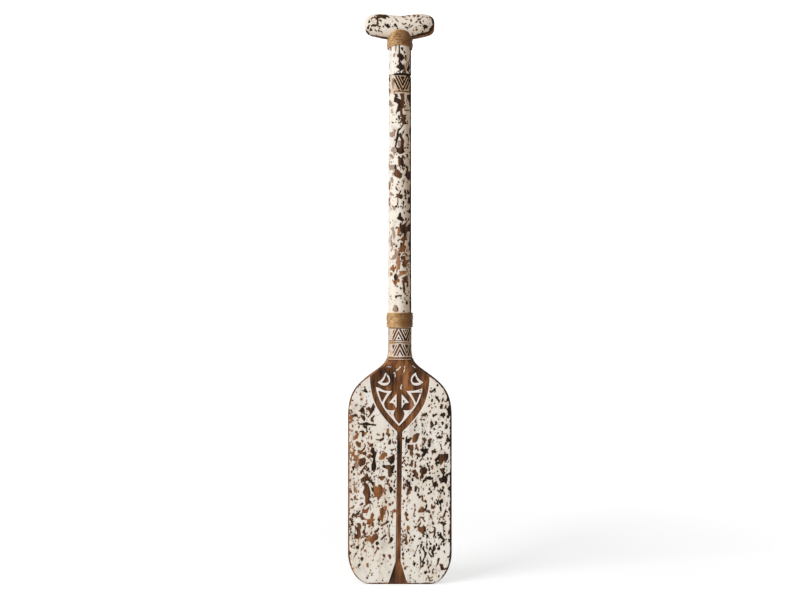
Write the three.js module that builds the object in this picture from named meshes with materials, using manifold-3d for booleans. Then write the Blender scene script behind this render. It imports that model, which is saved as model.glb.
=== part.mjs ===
// A carved decorative paddle: a flat blade with a round neck, a pole and a T grip, joined by
// pegged tenons and bound with cane where they meet. Millimetres, +Z up. It stands on the
// bottom edge of the blade, its carved front faces -Y, and X runs across the blade.
import * as THREE from "three";
import { mergeVertices } from "three/addons/utils/BufferGeometryUtils.js";
import Module from "manifold-3d";

const wasm = await Module();
wasm.setup();

// Blade: board, shoulders and round neck
const neckTop = 461; // bottom edge of the blade up to the joint with the pole
const neckLength = 47; // round neck, from the joint down to where the shoulders start
const neckRadius = 20.6;
const shoulderRise = 124; // from the straight sides up to the round neck
const shoulderAngle = THREE.MathUtils.degToRad(36.2); // slope where the shoulder turns
const bladeWidth = 182;
const bladeThickness = 22;
const arrisRadius = 5; // rounded edge of the board
const footArris = 2; // and along its foot, eased less to leave a flat edge to stand on
const cornerReach = 38.4; // rounded bottom corner, along the bottom edge
const cornerRise = 56; // and up the side

// Share of the way out and up at which the shoulder turns from hollow to round, and how far
// each curve keeps the direction of its ends
const turnOut = 0.283;
const turnUp = 0.682;
const ease = { side: 0.584, turnBelow: 0.844, turnAbove: 0.72, neck: 0.604 };

// Thickening of the board into the neck, measured down from the top of the shoulders
const swellDepth = 104;
const roundingStart = 9;
const roundingDepth = 53;

// Carving on the blade
const grooveWidth = 9;
const grooveDepth = 3.2;
const grooveTop = 272; // where the groove runs out under the shield
const footHeight = 40; // the groove flares below this height
const footWidth = 34;
const shieldDepth = 1.8; // ground of the shield, cut away round its raised islands
const shieldRim = 3; // wood left standing along the shoulders
const shieldSide = 363; // height at which the shield's edge meets the rim of the shoulder
const shieldTop = 390.8;

// Zigzag bands round the neck and the pole
const bandDepth = 1.3;
const chevronGap = 2.2; // standing between one chevron's foot and the next
const chevronLeg = 3.2; // cut width of a leg along the band
const pitMargin = 2; // between a pit and the edge of its band
const pitInset = 7; // from the outside of a chevron's foot to the pit inside it
const ringHalf = 1.1; // half the width of the rings cut above and below a band
const ringGap = 2; // from a band to the middle of its ring

// Pole
const poleLength = 484; // from the neck joint to the grip joint
const poleFootRadius = 20.6;
const poleTopRadius = 20;
const tenonRadius = 10;
const footTenonLength = 40;
const topTenonLength = 28;

// Grip
const gripLength = 123;
const gripThickness = 36;
const gripHeight = 43.4; // of the bar at its middle
const gripDrop = 6; // from the joint up to the underside of the bar
const endLift = 4.4; // how far the ends of the bar sit above its middle
const liftReach = 0.8; // share of the bar's half length at which its ends are fully raised
const barFullness = 3.7; // exponent of the bar's outline, 2 is an ellipse
const sectionFullness = 2.4; // and of its cross section
const stubRise = 7; // straight sides of the stub on the pole, above the underside of the bar
const stubInset = 2; // how far the stub's top stays inside the bar

// Pegs
const pegRadius = 3;
const pegInset = 0.4; // how far a peg's ends stay inside the wood that it crosses
const neckPegDrop = 6.5; // below the neck joint
const gripPegLift = 8; // above the grip joint

// Cane bindings
const neckCane = 2.4;
const neckTurns = 8;
const neckPitch = 2.9;
const neckBindingDrop = 12.6; // from the neck joint down to the lowest cane
const gripCane = 2;
const gripTurns = 6.5;
const gripPitch = 2.49;
const gripBindingDrop = 7.7; // from the grip joint down to the lowest cane, at the sides
const riseBelow = 4; // how much higher the binding's lower edge runs in front than at the sides
const riseAbove = 10; // and its upper edge
const lace = 1.2;
const laceWaves = 6;
const laceMargin = 1.6; // how far the lace stops short of the edges of the turns
const laceShare = 0.97; // of a turn that a lace goes round, which keeps its ends apart
const laceStart = 0.3; // angle of its first end, in radians

// Fits
const fit = 0.3; // between pieces that seat on each other
const caneFit = 0.35; // between cane and what it lies on

// How finely round forms are drawn, and how far cutters stand out of the wood
const roundSteps = 32;
const stepsPerTurn = 24;
const caneSides = 6;
const stepsPerWave = 8;
const cutterReach = 4;
const shieldLap = 1; // each half of the shield's ground laps over the middle
const rebateLap = 0.5; // of the rebate's inner wall inside the stub
const footEase = 0.05; // share of the foot's arris up to the second section
const cornerCrowding = 1.15; // above 1, sections of the corner crowd towards the foot
const tipGap = 0.35; // of a step, from the tip of the bar to its first section

// Places that follow from the sizes
const bladeHalf = bladeWidth / 2;
const neckStart = neckTop - neckLength;
const sideTop = neckStart - shoulderRise;
const gripJoint = neckTop + poleLength;
const neckWaist = neckTop - neckBindingDrop;
const lowerBand = { bottom: neckStart - 16, top: neckStart + 5, up: true, count: 5, turn: -3.7 };
const upperBand = { bottom: neckStart + 12, top: neckStart + 31, up: true, count: 5, turn: -10.6 };
const poleBand = { bottom: gripJoint - 85, top: gripJoint - 59, up: false, count: 4, turn: 18 };
const neckRings = [lowerBand, upperBand].flatMap(({ bottom, top }) => [bottom - ringGap, top + ringGap]);

const limewash = new THREE.MeshStandardMaterial({ color: 0xd8cfc0, roughness: 0.85, metalness: 0 });
const wood = new THREE.MeshStandardMaterial({ color: 0x6b442b, roughness: 0.7, metalness: 0 });
const cane = new THREE.MeshStandardMaterial({ color: 0xa9793f, roughness: 0.55, metalness: 0 });

// Geometry from vertices and faces, as one closed body
function closedGeometry(points, faces) {
  const geometry = new THREE.BufferGeometry();
  geometry.setAttribute("position", new THREE.Float32BufferAttribute(points.flat(), 3));
  geometry.setIndex(faces.flat());
  return geometry;
}

// Skins rings of points, each [x, y, z], and closes both ends with a fan
function loft(rings) {
  const count = rings[0].length;
  const points = rings.flat();
  const faces = [];
  for (let r = 0; r + 1 < rings.length; r++) {
    for (let i = 0; i < count; i++) {
      const a = r * count + i;
      const b = r * count + ((i + 1) % count);
      faces.push([a, b, b + count], [a, b + count, a + count]);
    }
  }
  const last = (rings.length - 1) * count;
  for (let i = 1; i + 1 < count; i++) {
    faces.push([0, i + 1, i], [last, last + i, last + i + 1]);
  }
  return closedGeometry(points, faces);
}

function toSolid(geometry) {
  const bare = geometry.clone();
  bare.deleteAttribute("normal");
  bare.deleteAttribute("uv");
  const merged = mergeVertices(bare, 1e-4);
  return new wasm.Manifold(
    new wasm.Mesh({
      numProp: 3,
      vertProperties: new Float32Array(merged.attributes.position.array),
      triVerts: new Uint32Array(merged.index.array),
    }),
  );
}

function fromSolid(solid) {
  const mesh = solid.getMesh();
  const geometry = new THREE.BufferGeometry();
  geometry.setAttribute("position", new THREE.BufferAttribute(new Float32Array(mesh.vertProperties), 3));
  geometry.setIndex(new THREE.BufferAttribute(new Uint32Array(mesh.triVerts), 1));
  return geometry;
}

function smooth(share) {
  const s = THREE.MathUtils.clamp(share, 0, 1);
  return s * s * (3 - 2 * s);
}

// The blade's outline from the side of the board to the neck, as two curves
const slope = new THREE.Vector2(-Math.cos(shoulderAngle), Math.sin(shoulderAngle));
const sideEnd = new THREE.Vector2(bladeHalf, sideTop);
const neckEnd = new THREE.Vector2(neckRadius, neckStart);
const turn = new THREE.Vector2(
  neckRadius + (bladeHalf - neckRadius) * turnOut,
  sideTop + shoulderRise * turnUp,
);
const roundShoulder = new THREE.CubicBezierCurve(
  sideEnd,
  sideEnd.clone().add(new THREE.Vector2(0, (turn.y - sideTop) * ease.side)),
  turn.clone().addScaledVector(slope, -(bladeHalf - turn.x) * ease.turnBelow),
  turn,
);
const hollowShoulder = new THREE.CubicBezierCurve(
  turn,
  turn.clone().addScaledVector(slope, (turn.x - neckRadius) * ease.turnAbove),
  neckEnd.clone().sub(new THREE.Vector2(0, (neckStart - turn.y) * ease.neck)),
  neckEnd,
);

// The board's section at a height: half width, half thickness and corner radius
function bladeSection(height, halfWidth) {
  const swell = smooth((height - (neckStart - swellDepth)) / swellDepth);
  const rounding = smooth((height - (neckStart - roundingStart - roundingDepth)) / roundingDepth);
  let halfThickness = THREE.MathUtils.lerp(bladeThickness / 2, neckRadius, swell);
  if (height < footArris) {
    const below = footArris - height;
    halfThickness -= footArris - Math.sqrt(footArris ** 2 - below ** 2);
  }
  const radius = THREE.MathUtils.lerp(arrisRadius, neckRadius, rounding);
  return { halfWidth, halfThickness, radius: Math.min(radius, halfThickness, halfWidth) };
}

// Heights and half widths of the blade's sections, from the bottom edge to the joint
function bladeStations() {
  const stations = [];
  const cornerSteps = 12;
  for (let i = 0; i <= cornerSteps; i++) {
    const angle = (Math.PI / 2) * (i / cornerSteps) ** cornerCrowding;
    const height = cornerRise * (1 - Math.cos(angle));
    stations.push([height, bladeHalf - cornerReach * (1 - Math.sin(angle))]);
  }
  const second = footArris * footEase;
  stations.push([second, cornerWidthAt(second)]);
  for (const point of roundShoulder.getPoints(10)) stations.push([point.y, point.x]);
  for (const point of hollowShoulder.getPoints(7).slice(1)) stations.push([point.y, point.x]);
  stations.push([neckTop, neckRadius]);
  return stations.sort((a, b) => a[0] - b[0]);
}

function cornerWidthAt(height) {
  const rise = 1 - height / cornerRise;
  return bladeHalf - cornerReach * (1 - Math.sqrt(1 - rise ** 2));
}

const stations = bladeStations();

// One ring of the blade, drawn in by an inset
function bladeRing([height, halfWidth], inset = 0) {
  const section = bladeSection(height, halfWidth);
  const leastRadius = 0.5;
  const radius = Math.max(section.radius - inset, leastRadius);
  const reachX = section.halfWidth - inset - radius;
  const reachY = section.halfThickness - inset - radius;
  const perQuarter = 8;
  const ring = [];
  for (let i = 0; i < 4 * perQuarter; i++) {
    const angle = ((i + 0.5) / (4 * perQuarter)) * 2 * Math.PI;
    const x = Math.sign(Math.cos(angle)) * reachX + radius * Math.cos(angle);
    const y = Math.sign(Math.sin(angle)) * reachY + radius * Math.sin(angle);
    ring.push([x, y, height]);
  }
  return ring;
}

// The blade's half width at a height, between its stations
function widthAt(height) {
  const above = stations.findIndex(([z]) => z >= height);
  const [z0, w0] = stations[above - 1];
  const [z1, w1] = stations[above];
  return THREE.MathUtils.mapLinear(height, z0, z1, w0, w1);
}

// A shape drawn across and up, extruded forwards from the axis and turned about it
function frontPrism(shape, turned = 0) {
  const options = { depth: neckRadius + cutterReach, bevelEnabled: false, curveSegments: 5 };
  const geometry = new THREE.ExtrudeGeometry(shape, options);
  geometry.rotateX(Math.PI / 2);
  geometry.rotateZ(THREE.MathUtils.degToRad(turned));
  return toSolid(geometry);
}

function mirrored(solid) {
  return solid.mirror([1, 0, 0]);
}

// A straight-edged shape from points across and up
function outline(points) {
  return new THREE.Shape(points.map(([x, y]) => new THREE.Vector2(x, y)));
}

// The shield's ground, from its point up its curved side and along the shoulder, right-hand side
function shieldGround() {
  const shape = new THREE.Shape();
  shape.moveTo(-shieldLap, grooveTop - grooveWidth);
  shape.lineTo(4.4, 264);
  shape.quadraticCurveTo(20, 281, 30.2, 294.5);
  shape.quadraticCurveTo(41.5, 309, 46, 324);
  shape.quadraticCurveTo(51.4, 340, 52, shieldSide);
  const steps = 6;
  for (let i = 1; i <= steps; i++) {
    const height = THREE.MathUtils.lerp(shieldSide, shieldTop, i / steps);
    shape.lineTo(widthAt(height) - shieldRim, height);
  }
  shape.lineTo(-shieldLap, shieldTop);
  return shape;
}

// The raised islands of the shield, right-hand side
function crescent() {
  const shape = new THREE.Shape();
  shape.moveTo(27.8, 370);
  shape.quadraticCurveTo(19.5, 364, 19.3, 356.5);
  shape.quadraticCurveTo(20, 347, 29.5, 346.8);
  shape.quadraticCurveTo(36.5, 347.4, 41, 352.8);
  shape.quadraticCurveTo(30.5, 357.5, 27.8, 370);
  return shape;
}

function bay() {
  const shape = new THREE.Shape();
  shape.moveTo(12.4, 337.6);
  shape.quadraticCurveTo(27, 336.4, 40.6, 341.8);
  shape.bezierCurveTo(36, 312, 22, 298, -1.2, 275);
  shape.lineTo(-0.2, 279.6);
  shape.quadraticCurveTo(8, 288, 9.6, 296);
  shape.quadraticCurveTo(9.4, 301.5, 5.6, 305);
  shape.quadraticCurveTo(8.6, 303.2, 13.7, 303.2);
  shape.quadraticCurveTo(25.5, 303.6, 26.2, 314.4);
  shape.quadraticCurveTo(25.6, 320.6, 12.4, 337.6);
  return shape;
}

function innerPocket() {
  const shape = new THREE.Shape();
  shape.moveTo(4.4, 332.4);
  shape.lineTo(17.8, 316.4);
  shape.quadraticCurveTo(7.4, 317.6, 5.4, 307.6);
  shape.lineTo(4.4, 307.6);
  return shape;
}

// Small pits cut in the islands
function pits() {
  const crescentPit = outline([[27.2, 363], [24.4, 356.4], [25.2, 351.8], [33, 352.4], [28.6, 356]]);
  const bayPit = outline([[22.8, 333.4], [32.8, 333.6], [30.4, 323.4]]);
  return [crescentPit, bayPit];
}

// The groove down the middle, V-shaped, with its flared foot
function grooveSolid() {
  const face = -bladeThickness / 2;
  const outside = face - cutterReach;
  const ring = (height, half, depth) => [
    [-half, face, height],
    [-half, outside, height],
    [half, outside, height],
    [half, face, height],
    [0, face + depth, height],
  ];
  const rings = [ring(-cutterReach, footWidth / 2, grooveDepth)];
  const flareSteps = 6;
  for (let i = 0; i <= flareSteps; i++) {
    const share = i / flareSteps;
    const half = THREE.MathUtils.lerp(footWidth, grooveWidth, share) / 2;
    rings.push(ring(footHeight * share, half, grooveDepth));
  }
  rings.push(ring(grooveTop - grooveWidth, grooveWidth / 2, grooveDepth));
  const runOut = 0.4;
  rings.push(ring(grooveTop, runOut, runOut));
  return toSolid(loft(rings));
}

// The cutters of a zigzag band: chevrons that point up or down, each with a pit inside it, and a
// pit the other way up between one chevron and the next
function bandCutters({ bottom, top, up, count, turn }, radius) {
  const [base, tip] = up ? [bottom, top] : [top, bottom];
  const half = (Math.PI * radius) / count - chevronGap;
  const slant = (tip - base) / half;
  const chevron = outline([
    [-half, base],
    [0, tip],
    [half, base],
    [half - chevronLeg, base],
    [0, tip - chevronLeg * slant],
    [chevronLeg - half, base],
  ]);
  const triangle = (wide, from) => outline([[-wide, from], [wide, from], [0, from + wide * slant]]);
  const margin = Math.sign(slant) * pitMargin;
  const inside = triangle(half - pitInset, base + margin);
  const inverted = (wide, from) => outline([[-wide, from], [wide, from], [0, from - wide * slant]]);
  const between = inverted(half - chevronLeg, tip - margin);
  const cutters = [];
  for (let i = 0; i < count; i++) {
    const angle = turn + (360 * i) / count;
    cutters.push(frontPrism(chevron, angle), frontPrism(inside, angle));
    cutters.push(frontPrism(between, angle + 180 / count));
  }
  return wasm.Manifold.union(cutters);
}

function cylinderSolid(radius, from, to) {
  const geometry = new THREE.CylinderGeometry(radius, radius, to - from, roundSteps);
  geometry.rotateX(Math.PI / 2);
  geometry.translate(0, 0, (from + to) / 2);
  return toSolid(geometry);
}

// A hole or peg that crosses the axis from front to back
function crossGeometry(radius, length, height) {
  const geometry = new THREE.CylinderGeometry(radius, radius, length, 16);
  geometry.translate(0, 0, height);
  return geometry;
}

// A solid of revolution about Z from [radius, height] points that start and end on the axis
function turned(profile) {
  const points = profile.map(([radius, height]) => new THREE.Vector2(radius, height));
  const geometry = new THREE.LatheGeometry(points, roundSteps);
  geometry.rotateX(Math.PI / 2);
  return toSolid(geometry);
}

// The carving of the shield: its ground without the islands, and the pits in them
function shieldCutters() {
  const bothSides = (shape) => [frontPrism(shape), mirrored(frontPrism(shape))];
  const ground = wasm.Manifold.union(bothSides(shieldGround()));
  const islands = [crescent(), bay(), innerPocket()].flatMap(bothSides);
  const cut = ground.subtract(wasm.Manifold.union(islands));
  return cut.add(wasm.Manifold.union(pits().flatMap(bothSides)));
}

function bladeGeometry() {
  const aboveCorner = stations.filter(([z]) => z > cornerRise - fit);
  const inner = (inset) => toSolid(loft(aboveCorner.map((s) => bladeRing(s, inset))));
  const rings = stations.map((s) => bladeRing(s));
  for (const height of neckRings) {
    const edges = [height - ringHalf, height + ringHalf];
    for (const z of edges) rings.push(bladeRing([z, widthAt(z)]));
    rings.push(bladeRing([height, widthAt(height)], bandDepth));
  }
  rings.sort((a, b) => a[0][2] - b[0][2]);
  let blade = toSolid(loft(rings));
  blade = blade.subtract(shieldCutters().subtract(inner(shieldDepth)));
  const bands = [lowerBand, upperBand].map((band) => bandCutters(band, neckRadius));
  blade = blade.subtract(wasm.Manifold.union(bands).subtract(inner(bandDepth)));
  blade = blade.subtract(grooveSolid());
  const socketFloor = neckTop - footTenonLength - fit;
  blade = blade.subtract(cylinderSolid(tenonRadius + fit, socketFloor, neckTop + cutterReach));
  const pegHole = crossGeometry(pegRadius + fit, 3 * neckRadius, neckTop - neckPegDrop);
  return fromSolid(blade.subtract(toSolid(pegHole)));
}

function poleRadiusAt(height) {
  return THREE.MathUtils.mapLinear(height, neckTop, gripJoint, poleFootRadius, poleTopRadius);
}

function poleGeometry() {
  const foot = neckTop + fit;
  const top = gripJoint - fit;
  const ring = (middle) =>
    [-ringHalf, 0, ringHalf].map((off) => {
      const height = middle + off;
      return [poleRadiusAt(height) - (off === 0 ? bandDepth : 0), height];
    });
  let pole = turned([
    [0, neckTop - footTenonLength],
    [tenonRadius, neckTop - footTenonLength],
    [tenonRadius, foot],
    [poleFootRadius, foot],
    ...ring(poleBand.bottom - ringGap),
    ...ring(poleBand.top + ringGap),
    [poleTopRadius, top],
    [tenonRadius, top],
    [tenonRadius, gripJoint + topTenonLength],
    [0, gripJoint + topTenonLength],
  ]);
  const core = cylinderSolid(poleTopRadius - bandDepth, poleBand.bottom - ringGap, poleBand.top + ringGap);
  pole = pole.subtract(bandCutters(poleBand, poleTopRadius).subtract(core));
  for (const height of [neckTop - neckPegDrop, gripJoint + gripPegLift]) {
    pole = pole.subtract(toSolid(crossGeometry(pegRadius + fit, 3 * tenonRadius, height)));
  }
  return fromSolid(pole);
}

// How far the grip's binding is raised at an angle from X: nothing at the sides, all in front
function saddle(angle) {
  return Math.sin(angle) ** 2;
}

const gripBindingHeight = gripPitch * gripTurns + gripCane;

// The ring-shaped rebate under the bar that the top turns of the binding lie in
function rebateSolid() {
  const steps = 48;
  const inner = poleTopRadius - rebateLap;
  const low = gripJoint - cutterReach;
  const outer = poleTopRadius + 2 * caneFit + gripCane + lace + 2 * fit;
  const rings = [];
  for (let i = 0; i < steps; i++) {
    const angle = (i / steps) * 2 * Math.PI;
    const top = gripJoint - gripBindingDrop + gripBindingHeight + riseAbove * saddle(angle) + 2 * fit;
    const at = (radius, height) => [radius * Math.cos(angle), radius * Math.sin(angle), height];
    rings.push([at(inner, low), at(inner, top), at(outer, top), at(outer, low)]);
  }
  const points = rings.flat();
  const faces = [];
  for (let i = 0; i < steps; i++) {
    for (let j = 0; j < 4; j++) {
      const a = i * 4 + j;
      const b = i * 4 + ((j + 1) % 4);
      const c = ((i + 1) % steps) * 4 + ((j + 1) % 4);
      const d = ((i + 1) % steps) * 4 + j;
      faces.push([a, b, c], [a, c, d]);
    }
  }
  const solid = toSolid(closedGeometry(points, faces));
  return solid.volume() > 0 ? solid : toSolid(closedGeometry(points, faces.map(([a, b, c]) => [a, c, b])));
}

function gripGeometry() {
  const halfLength = gripLength / 2;
  const middle = gripJoint + gripDrop + gripHeight / 2;
  const stations = 22;
  const around = 24;
  const rings = [];
  for (let i = 0; i <= stations; i++) {
    const share = -Math.cos((Math.PI * (i + tipGap)) / (stations + 2 * tipGap));
    const size = (1 - Math.abs(share) ** barFullness) ** (1 / barFullness);
    const raised = Math.min(1, Math.abs(share) / liftReach);
    const lift = (endLift * (1 - Math.cos(Math.PI * raised))) / 2;
    const ring = [];
    for (let j = 0; j < around; j++) {
      const angle = ((j + 0.5) / around) * 2 * Math.PI;
      const [c, s] = [Math.cos(angle), Math.sin(angle)];
      const sum = Math.abs(c) ** sectionFullness + Math.abs(s) ** sectionFullness;
      const grow = sum ** (-1 / sectionFullness);
      const y = (gripThickness / 2) * size * grow * c;
      const z = middle + lift + (gripHeight / 2) * size * grow * s;
      ring.push([halfLength * share, y, z]);
    }
    rings.push(ring);
  }
  const stub = turned([
    [0, gripJoint],
    [poleTopRadius, gripJoint],
    [poleTopRadius, gripJoint + gripDrop + stubRise],
    [gripThickness / 2 - stubInset, middle],
    [0, middle],
  ]);
  let grip = toSolid(loft(rings)).subtract(rebateSolid()).add(stub);
  const socketTop = gripJoint + topTenonLength + fit;
  grip = grip.subtract(cylinderSolid(tenonRadius + fit, gripJoint - cutterReach, socketTop));
  const pegHole = crossGeometry(pegRadius + fit, 3 * poleTopRadius, gripJoint + gripPegLift);
  return fromSolid(grip.subtract(toSolid(pegHole)));
}

// A tube of cane along a list of points, with square ends, and its least gap to itself
function caneTube(name, points, diameter) {
  const rings = points.map((point, i) => {
    const before = points[Math.max(i - 1, 0)];
    const after = points[Math.min(i + 1, points.length - 1)];
    const along = after.clone().sub(before).normalize();
    const out = new THREE.Vector3(point.x, point.y, 0).normalize();
    const up = out.clone().cross(along).normalize();
    const side = along.clone().cross(up).normalize();
    const ring = [];
    for (let j = 0; j < caneSides; j++) {
      const angle = (j / caneSides) * 2 * Math.PI;
      const at = point.clone();
      at.addScaledVector(side, (diameter / 2) * Math.cos(angle));
      at.addScaledVector(up, (diameter / 2) * Math.sin(angle));
      ring.push(at.toArray());
    }
    return ring;
  });
  let least = Infinity;
  const apart = stepsPerTurn / 2;
  for (let i = 0; i < points.length; i++) {
    for (let k = i + apart; k < points.length; k++) {
      least = Math.min(least, points[i].distanceTo(points[k]) - diameter);
    }
  }
  console.log(`${name}: least gap to itself ${least.toFixed(2)} mm`);
  let geometry = loft(rings);
  if (toSolid(geometry).volume() < 0) geometry = loft(rings.map((ring) => ring.slice().reverse()));
  return geometry;
}

// Points of a lace that waves up and down over the turns, once round
function lacePoints(radius, low, high) {
  const points = [];
  const steps = laceWaves * stepsPerWave;
  for (let i = 0; i <= steps; i++) {
    const share = (i / steps) * laceShare;
    const angle = laceStart + share * 2 * Math.PI;
    const wave = 0.5 - 0.5 * Math.cos(share * laceWaves * 2 * Math.PI);
    const z = THREE.MathUtils.lerp(low(angle), high(angle), wave);
    points.push(new THREE.Vector3(radius * Math.cos(angle), radius * Math.sin(angle), z));
  }
  return points;
}

const neckSeat = Math.max(neckRadius, poleFootRadius) + caneFit;
const gripSeat = poleTopRadius + caneFit;

function neckBindingGeometry() {
  const radius = neckSeat + neckCane / 2;
  const points = [];
  for (let i = 0; i <= neckTurns * stepsPerTurn; i++) {
    const angle = (i / stepsPerTurn) * 2 * Math.PI;
    const z = neckWaist + neckCane / 2 + (neckPitch * i) / stepsPerTurn;
    points.push(new THREE.Vector3(radius * Math.cos(angle), radius * Math.sin(angle), z));
  }
  return caneTube("neck_binding", points, neckCane);
}

function neckLaceGeometry() {
  const radius = neckSeat + neckCane + caneFit + lace / 2;
  const low = () => neckWaist + laceMargin + lace / 2;
  const high = () => neckWaist + neckPitch * neckTurns + neckCane - laceMargin - lace / 2;
  return caneTube("neck_lace", lacePoints(radius, low, high), lace);
}

function gripBindingGeometry() {
  const radius = gripSeat + gripCane / 2;
  const points = [];
  const steps = gripTurns * stepsPerTurn;
  for (let i = 0; i <= steps; i++) {
    const angle = (i / stepsPerTurn) * 2 * Math.PI;
    const rise = THREE.MathUtils.lerp(riseBelow, riseAbove, i / steps) * saddle(angle);
    const z = gripJoint - gripBindingDrop + gripCane / 2 + (gripPitch * i) / stepsPerTurn + rise;
    points.push(new THREE.Vector3(radius * Math.cos(angle), radius * Math.sin(angle), z));
  }
  return caneTube("grip_binding", points, gripCane);
}

function gripLaceGeometry() {
  const radius = gripSeat + gripCane + caneFit + lace / 2;
  const bottom = gripJoint - gripBindingDrop + laceMargin + lace / 2;
  const top = gripJoint - gripBindingDrop + gripBindingHeight - laceMargin - lace / 2;
  const low = (angle) => bottom + riseBelow * saddle(angle);
  const high = (angle) => top + riseAbove * saddle(angle);
  return caneTube("grip_lace", lacePoints(radius, low, high), lace);
}

const paddle = new THREE.Group();

function addPiece(name, geometry, material) {
  const mesh = new THREE.Mesh(geometry, material);
  mesh.name = name;
  paddle.add(mesh);
}

addPiece("blade", bladeGeometry(), limewash);
addPiece("pole", poleGeometry(), limewash);
addPiece("grip", gripGeometry(), limewash);
const neckPegLength = 2 * (neckRadius - pegInset);
const gripPegLength = 2 * (poleTopRadius - pegInset);
addPiece("neck_peg", crossGeometry(pegRadius, neckPegLength, neckTop - neckPegDrop), wood);
addPiece("grip_peg", crossGeometry(pegRadius, gripPegLength, gripJoint + gripPegLift), wood);
addPiece("neck_binding", neckBindingGeometry(), cane);
addPiece("neck_lace", neckLaceGeometry(), cane);
addPiece("grip_binding", gripBindingGeometry(), cane);
addPiece("grip_lace", gripLaceGeometry(), cane);

export default paddle;
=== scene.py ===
# %% [markdown]
# # A limewashed, carved paddle
#
# The paddle is a board with a round neck, a pole and a T-shaped hand grip. Tenons join them, and
# split cane binds each joint. The wood was painted a chalky white, then carved through the paint,
# so that the pattern shows as bare brown wood, and years of wear have chipped the rest.
#
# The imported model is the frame: it says where each piece is and how large. Everything below is a
# finer skin over it, in metres, with +Z up the pole and the carved side towards -Y.

# %% Load the frame
import math

import bpy
import numpy as np
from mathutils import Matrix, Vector, noise


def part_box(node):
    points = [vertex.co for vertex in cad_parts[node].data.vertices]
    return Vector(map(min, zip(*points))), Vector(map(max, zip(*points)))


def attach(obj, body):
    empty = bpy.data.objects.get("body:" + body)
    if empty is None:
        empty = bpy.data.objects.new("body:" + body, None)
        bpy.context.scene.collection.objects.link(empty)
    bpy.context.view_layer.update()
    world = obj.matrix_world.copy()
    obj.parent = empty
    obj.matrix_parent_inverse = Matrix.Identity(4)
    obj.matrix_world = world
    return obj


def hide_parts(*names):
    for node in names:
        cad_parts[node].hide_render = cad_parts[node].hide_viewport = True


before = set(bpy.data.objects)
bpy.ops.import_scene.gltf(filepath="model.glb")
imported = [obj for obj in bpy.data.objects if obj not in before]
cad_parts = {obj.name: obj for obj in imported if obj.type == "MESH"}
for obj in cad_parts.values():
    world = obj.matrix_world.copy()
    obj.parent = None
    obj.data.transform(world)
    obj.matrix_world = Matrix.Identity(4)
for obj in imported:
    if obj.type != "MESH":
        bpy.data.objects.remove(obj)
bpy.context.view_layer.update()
scene = bpy.context.scene
MM = 0.001
CAMERA_ACROSS, CAMERA_DISTANCE, CAMERA_HEIGHT = 0.0003, 1.949, 0.496
print("pieces in the frame:", ", ".join(sorted(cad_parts)))

# %% [markdown]
# ## Skins made of rings
#
# Every wooden piece is long, and its shape is known ring by ring. A lathe or a subdivided box
# would be quicker to set up, but a grid of rings puts the dense mesh where the carving is, and it
# stays one closed body. Numbers that belong to a vertex, such as how far it is from the nearest
# cut, travel with the mesh as attributes. A distance blends well between two vertices, so the
# colour edge that a shader makes of it later is much sharper than the mesh.


# %% Ring skins
SHARP_EDGE = math.radians(50)


def skin(name, rings, fields):
    """One closed mesh from rings of points, shaped (rings, points, 3), with a face on each end."""
    count, around = rings.shape[:2]
    rows = np.arange(count - 1)[:, None] * around
    here = np.arange(around)[None, :]
    after = (here + 1) % around
    quads = np.stack([rows + here, rows + after, rows + around + after, rows + around + here], axis=-1)
    faces = [tuple(q) for q in quads.reshape(-1, 4).tolist()]
    faces.append(tuple(range(around - 1, -1, -1)))
    faces.append(tuple(range((count - 1) * around, count * around)))
    mesh = bpy.data.meshes.new(name)
    mesh.from_pydata(rings.reshape(-1, 3), [], faces)
    for field, values in fields.items():
        layer = mesh.attributes.new(field, "FLOAT", "POINT")
        layer.data.foreach_set("value", np.ascontiguousarray(values, dtype=np.float32).ravel())
    mesh.shade_smooth()
    mesh.set_sharp_from_angle(angle=SHARP_EDGE)
    piece = bpy.data.objects.new(name, mesh)
    scene.collection.objects.link(piece)
    print(f"{name}: {len(mesh.vertices)} vertices, {len(mesh.polygons)} faces")
    return piece


def spread(start, end, step):
    """Even steps from start up to the last one before end."""
    return np.linspace(start, end, max(2, round((end - start) / step)), endpoint=False)


def ring_heights(zones, top):
    """Heights of rings up to the top. A zone is its start and the step between its rings."""
    ends = [start for start, _ in zones[1:]] + [top]
    steps = [spread(start, end, step) for (start, step), end in zip(zones, ends)]
    return np.concatenate([*steps, [top]])


# %% [markdown]
# ## Soft steps and clouds
#
# Carved and worn wood has no sharp beginnings. Two small functions stand for nearly every change
# along a piece: one rises softly past a place, the other falls softly until a place. Clouds of
# noise make both uneven.


# %% Soft steps and clouds
TINY = 1e-12
DAMPING, FINER = 0.8, 2.1


def smooth(share):
    """0 below 0, 1 above 1, with soft ends in between."""
    s = np.clip(share, 0, 1)
    return s * s * (3 - 2 * s)


def past(value, start, over):
    """0 up to start and 1 from start + over, both in mm."""
    return smooth((value - start * MM) / (over * MM))


def until(value, end, over):
    """1 up to end - over and 0 from end, both in mm."""
    return smooth((end * MM - value) / (over * MM))


def turbulence(points, cell, octaves=3, seed=0.0):
    """Cloudy noise of about -1 to 1 at each point; cell is its size along X, Y and Z."""
    flat = np.asarray(points).reshape(-1, 3) / np.asarray(cell) + seed
    values = [noise.fractal(Vector(p), DAMPING, FINER, octaves) for p in flat]
    return np.array(values).reshape(np.asarray(points).shape[:-1])


def hand_worked(place, depth, cell, seed):
    """The shallow waves that hand tools leave, from 0 to depth."""
    return depth * (0.5 + 0.5 * turbulence(place, cell, 2, seed))


def unit(vectors):
    """The same directions, each with a length of 1."""
    return vectors / np.maximum(np.linalg.norm(vectors, axis=-1, keepdims=True), TINY)


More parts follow.
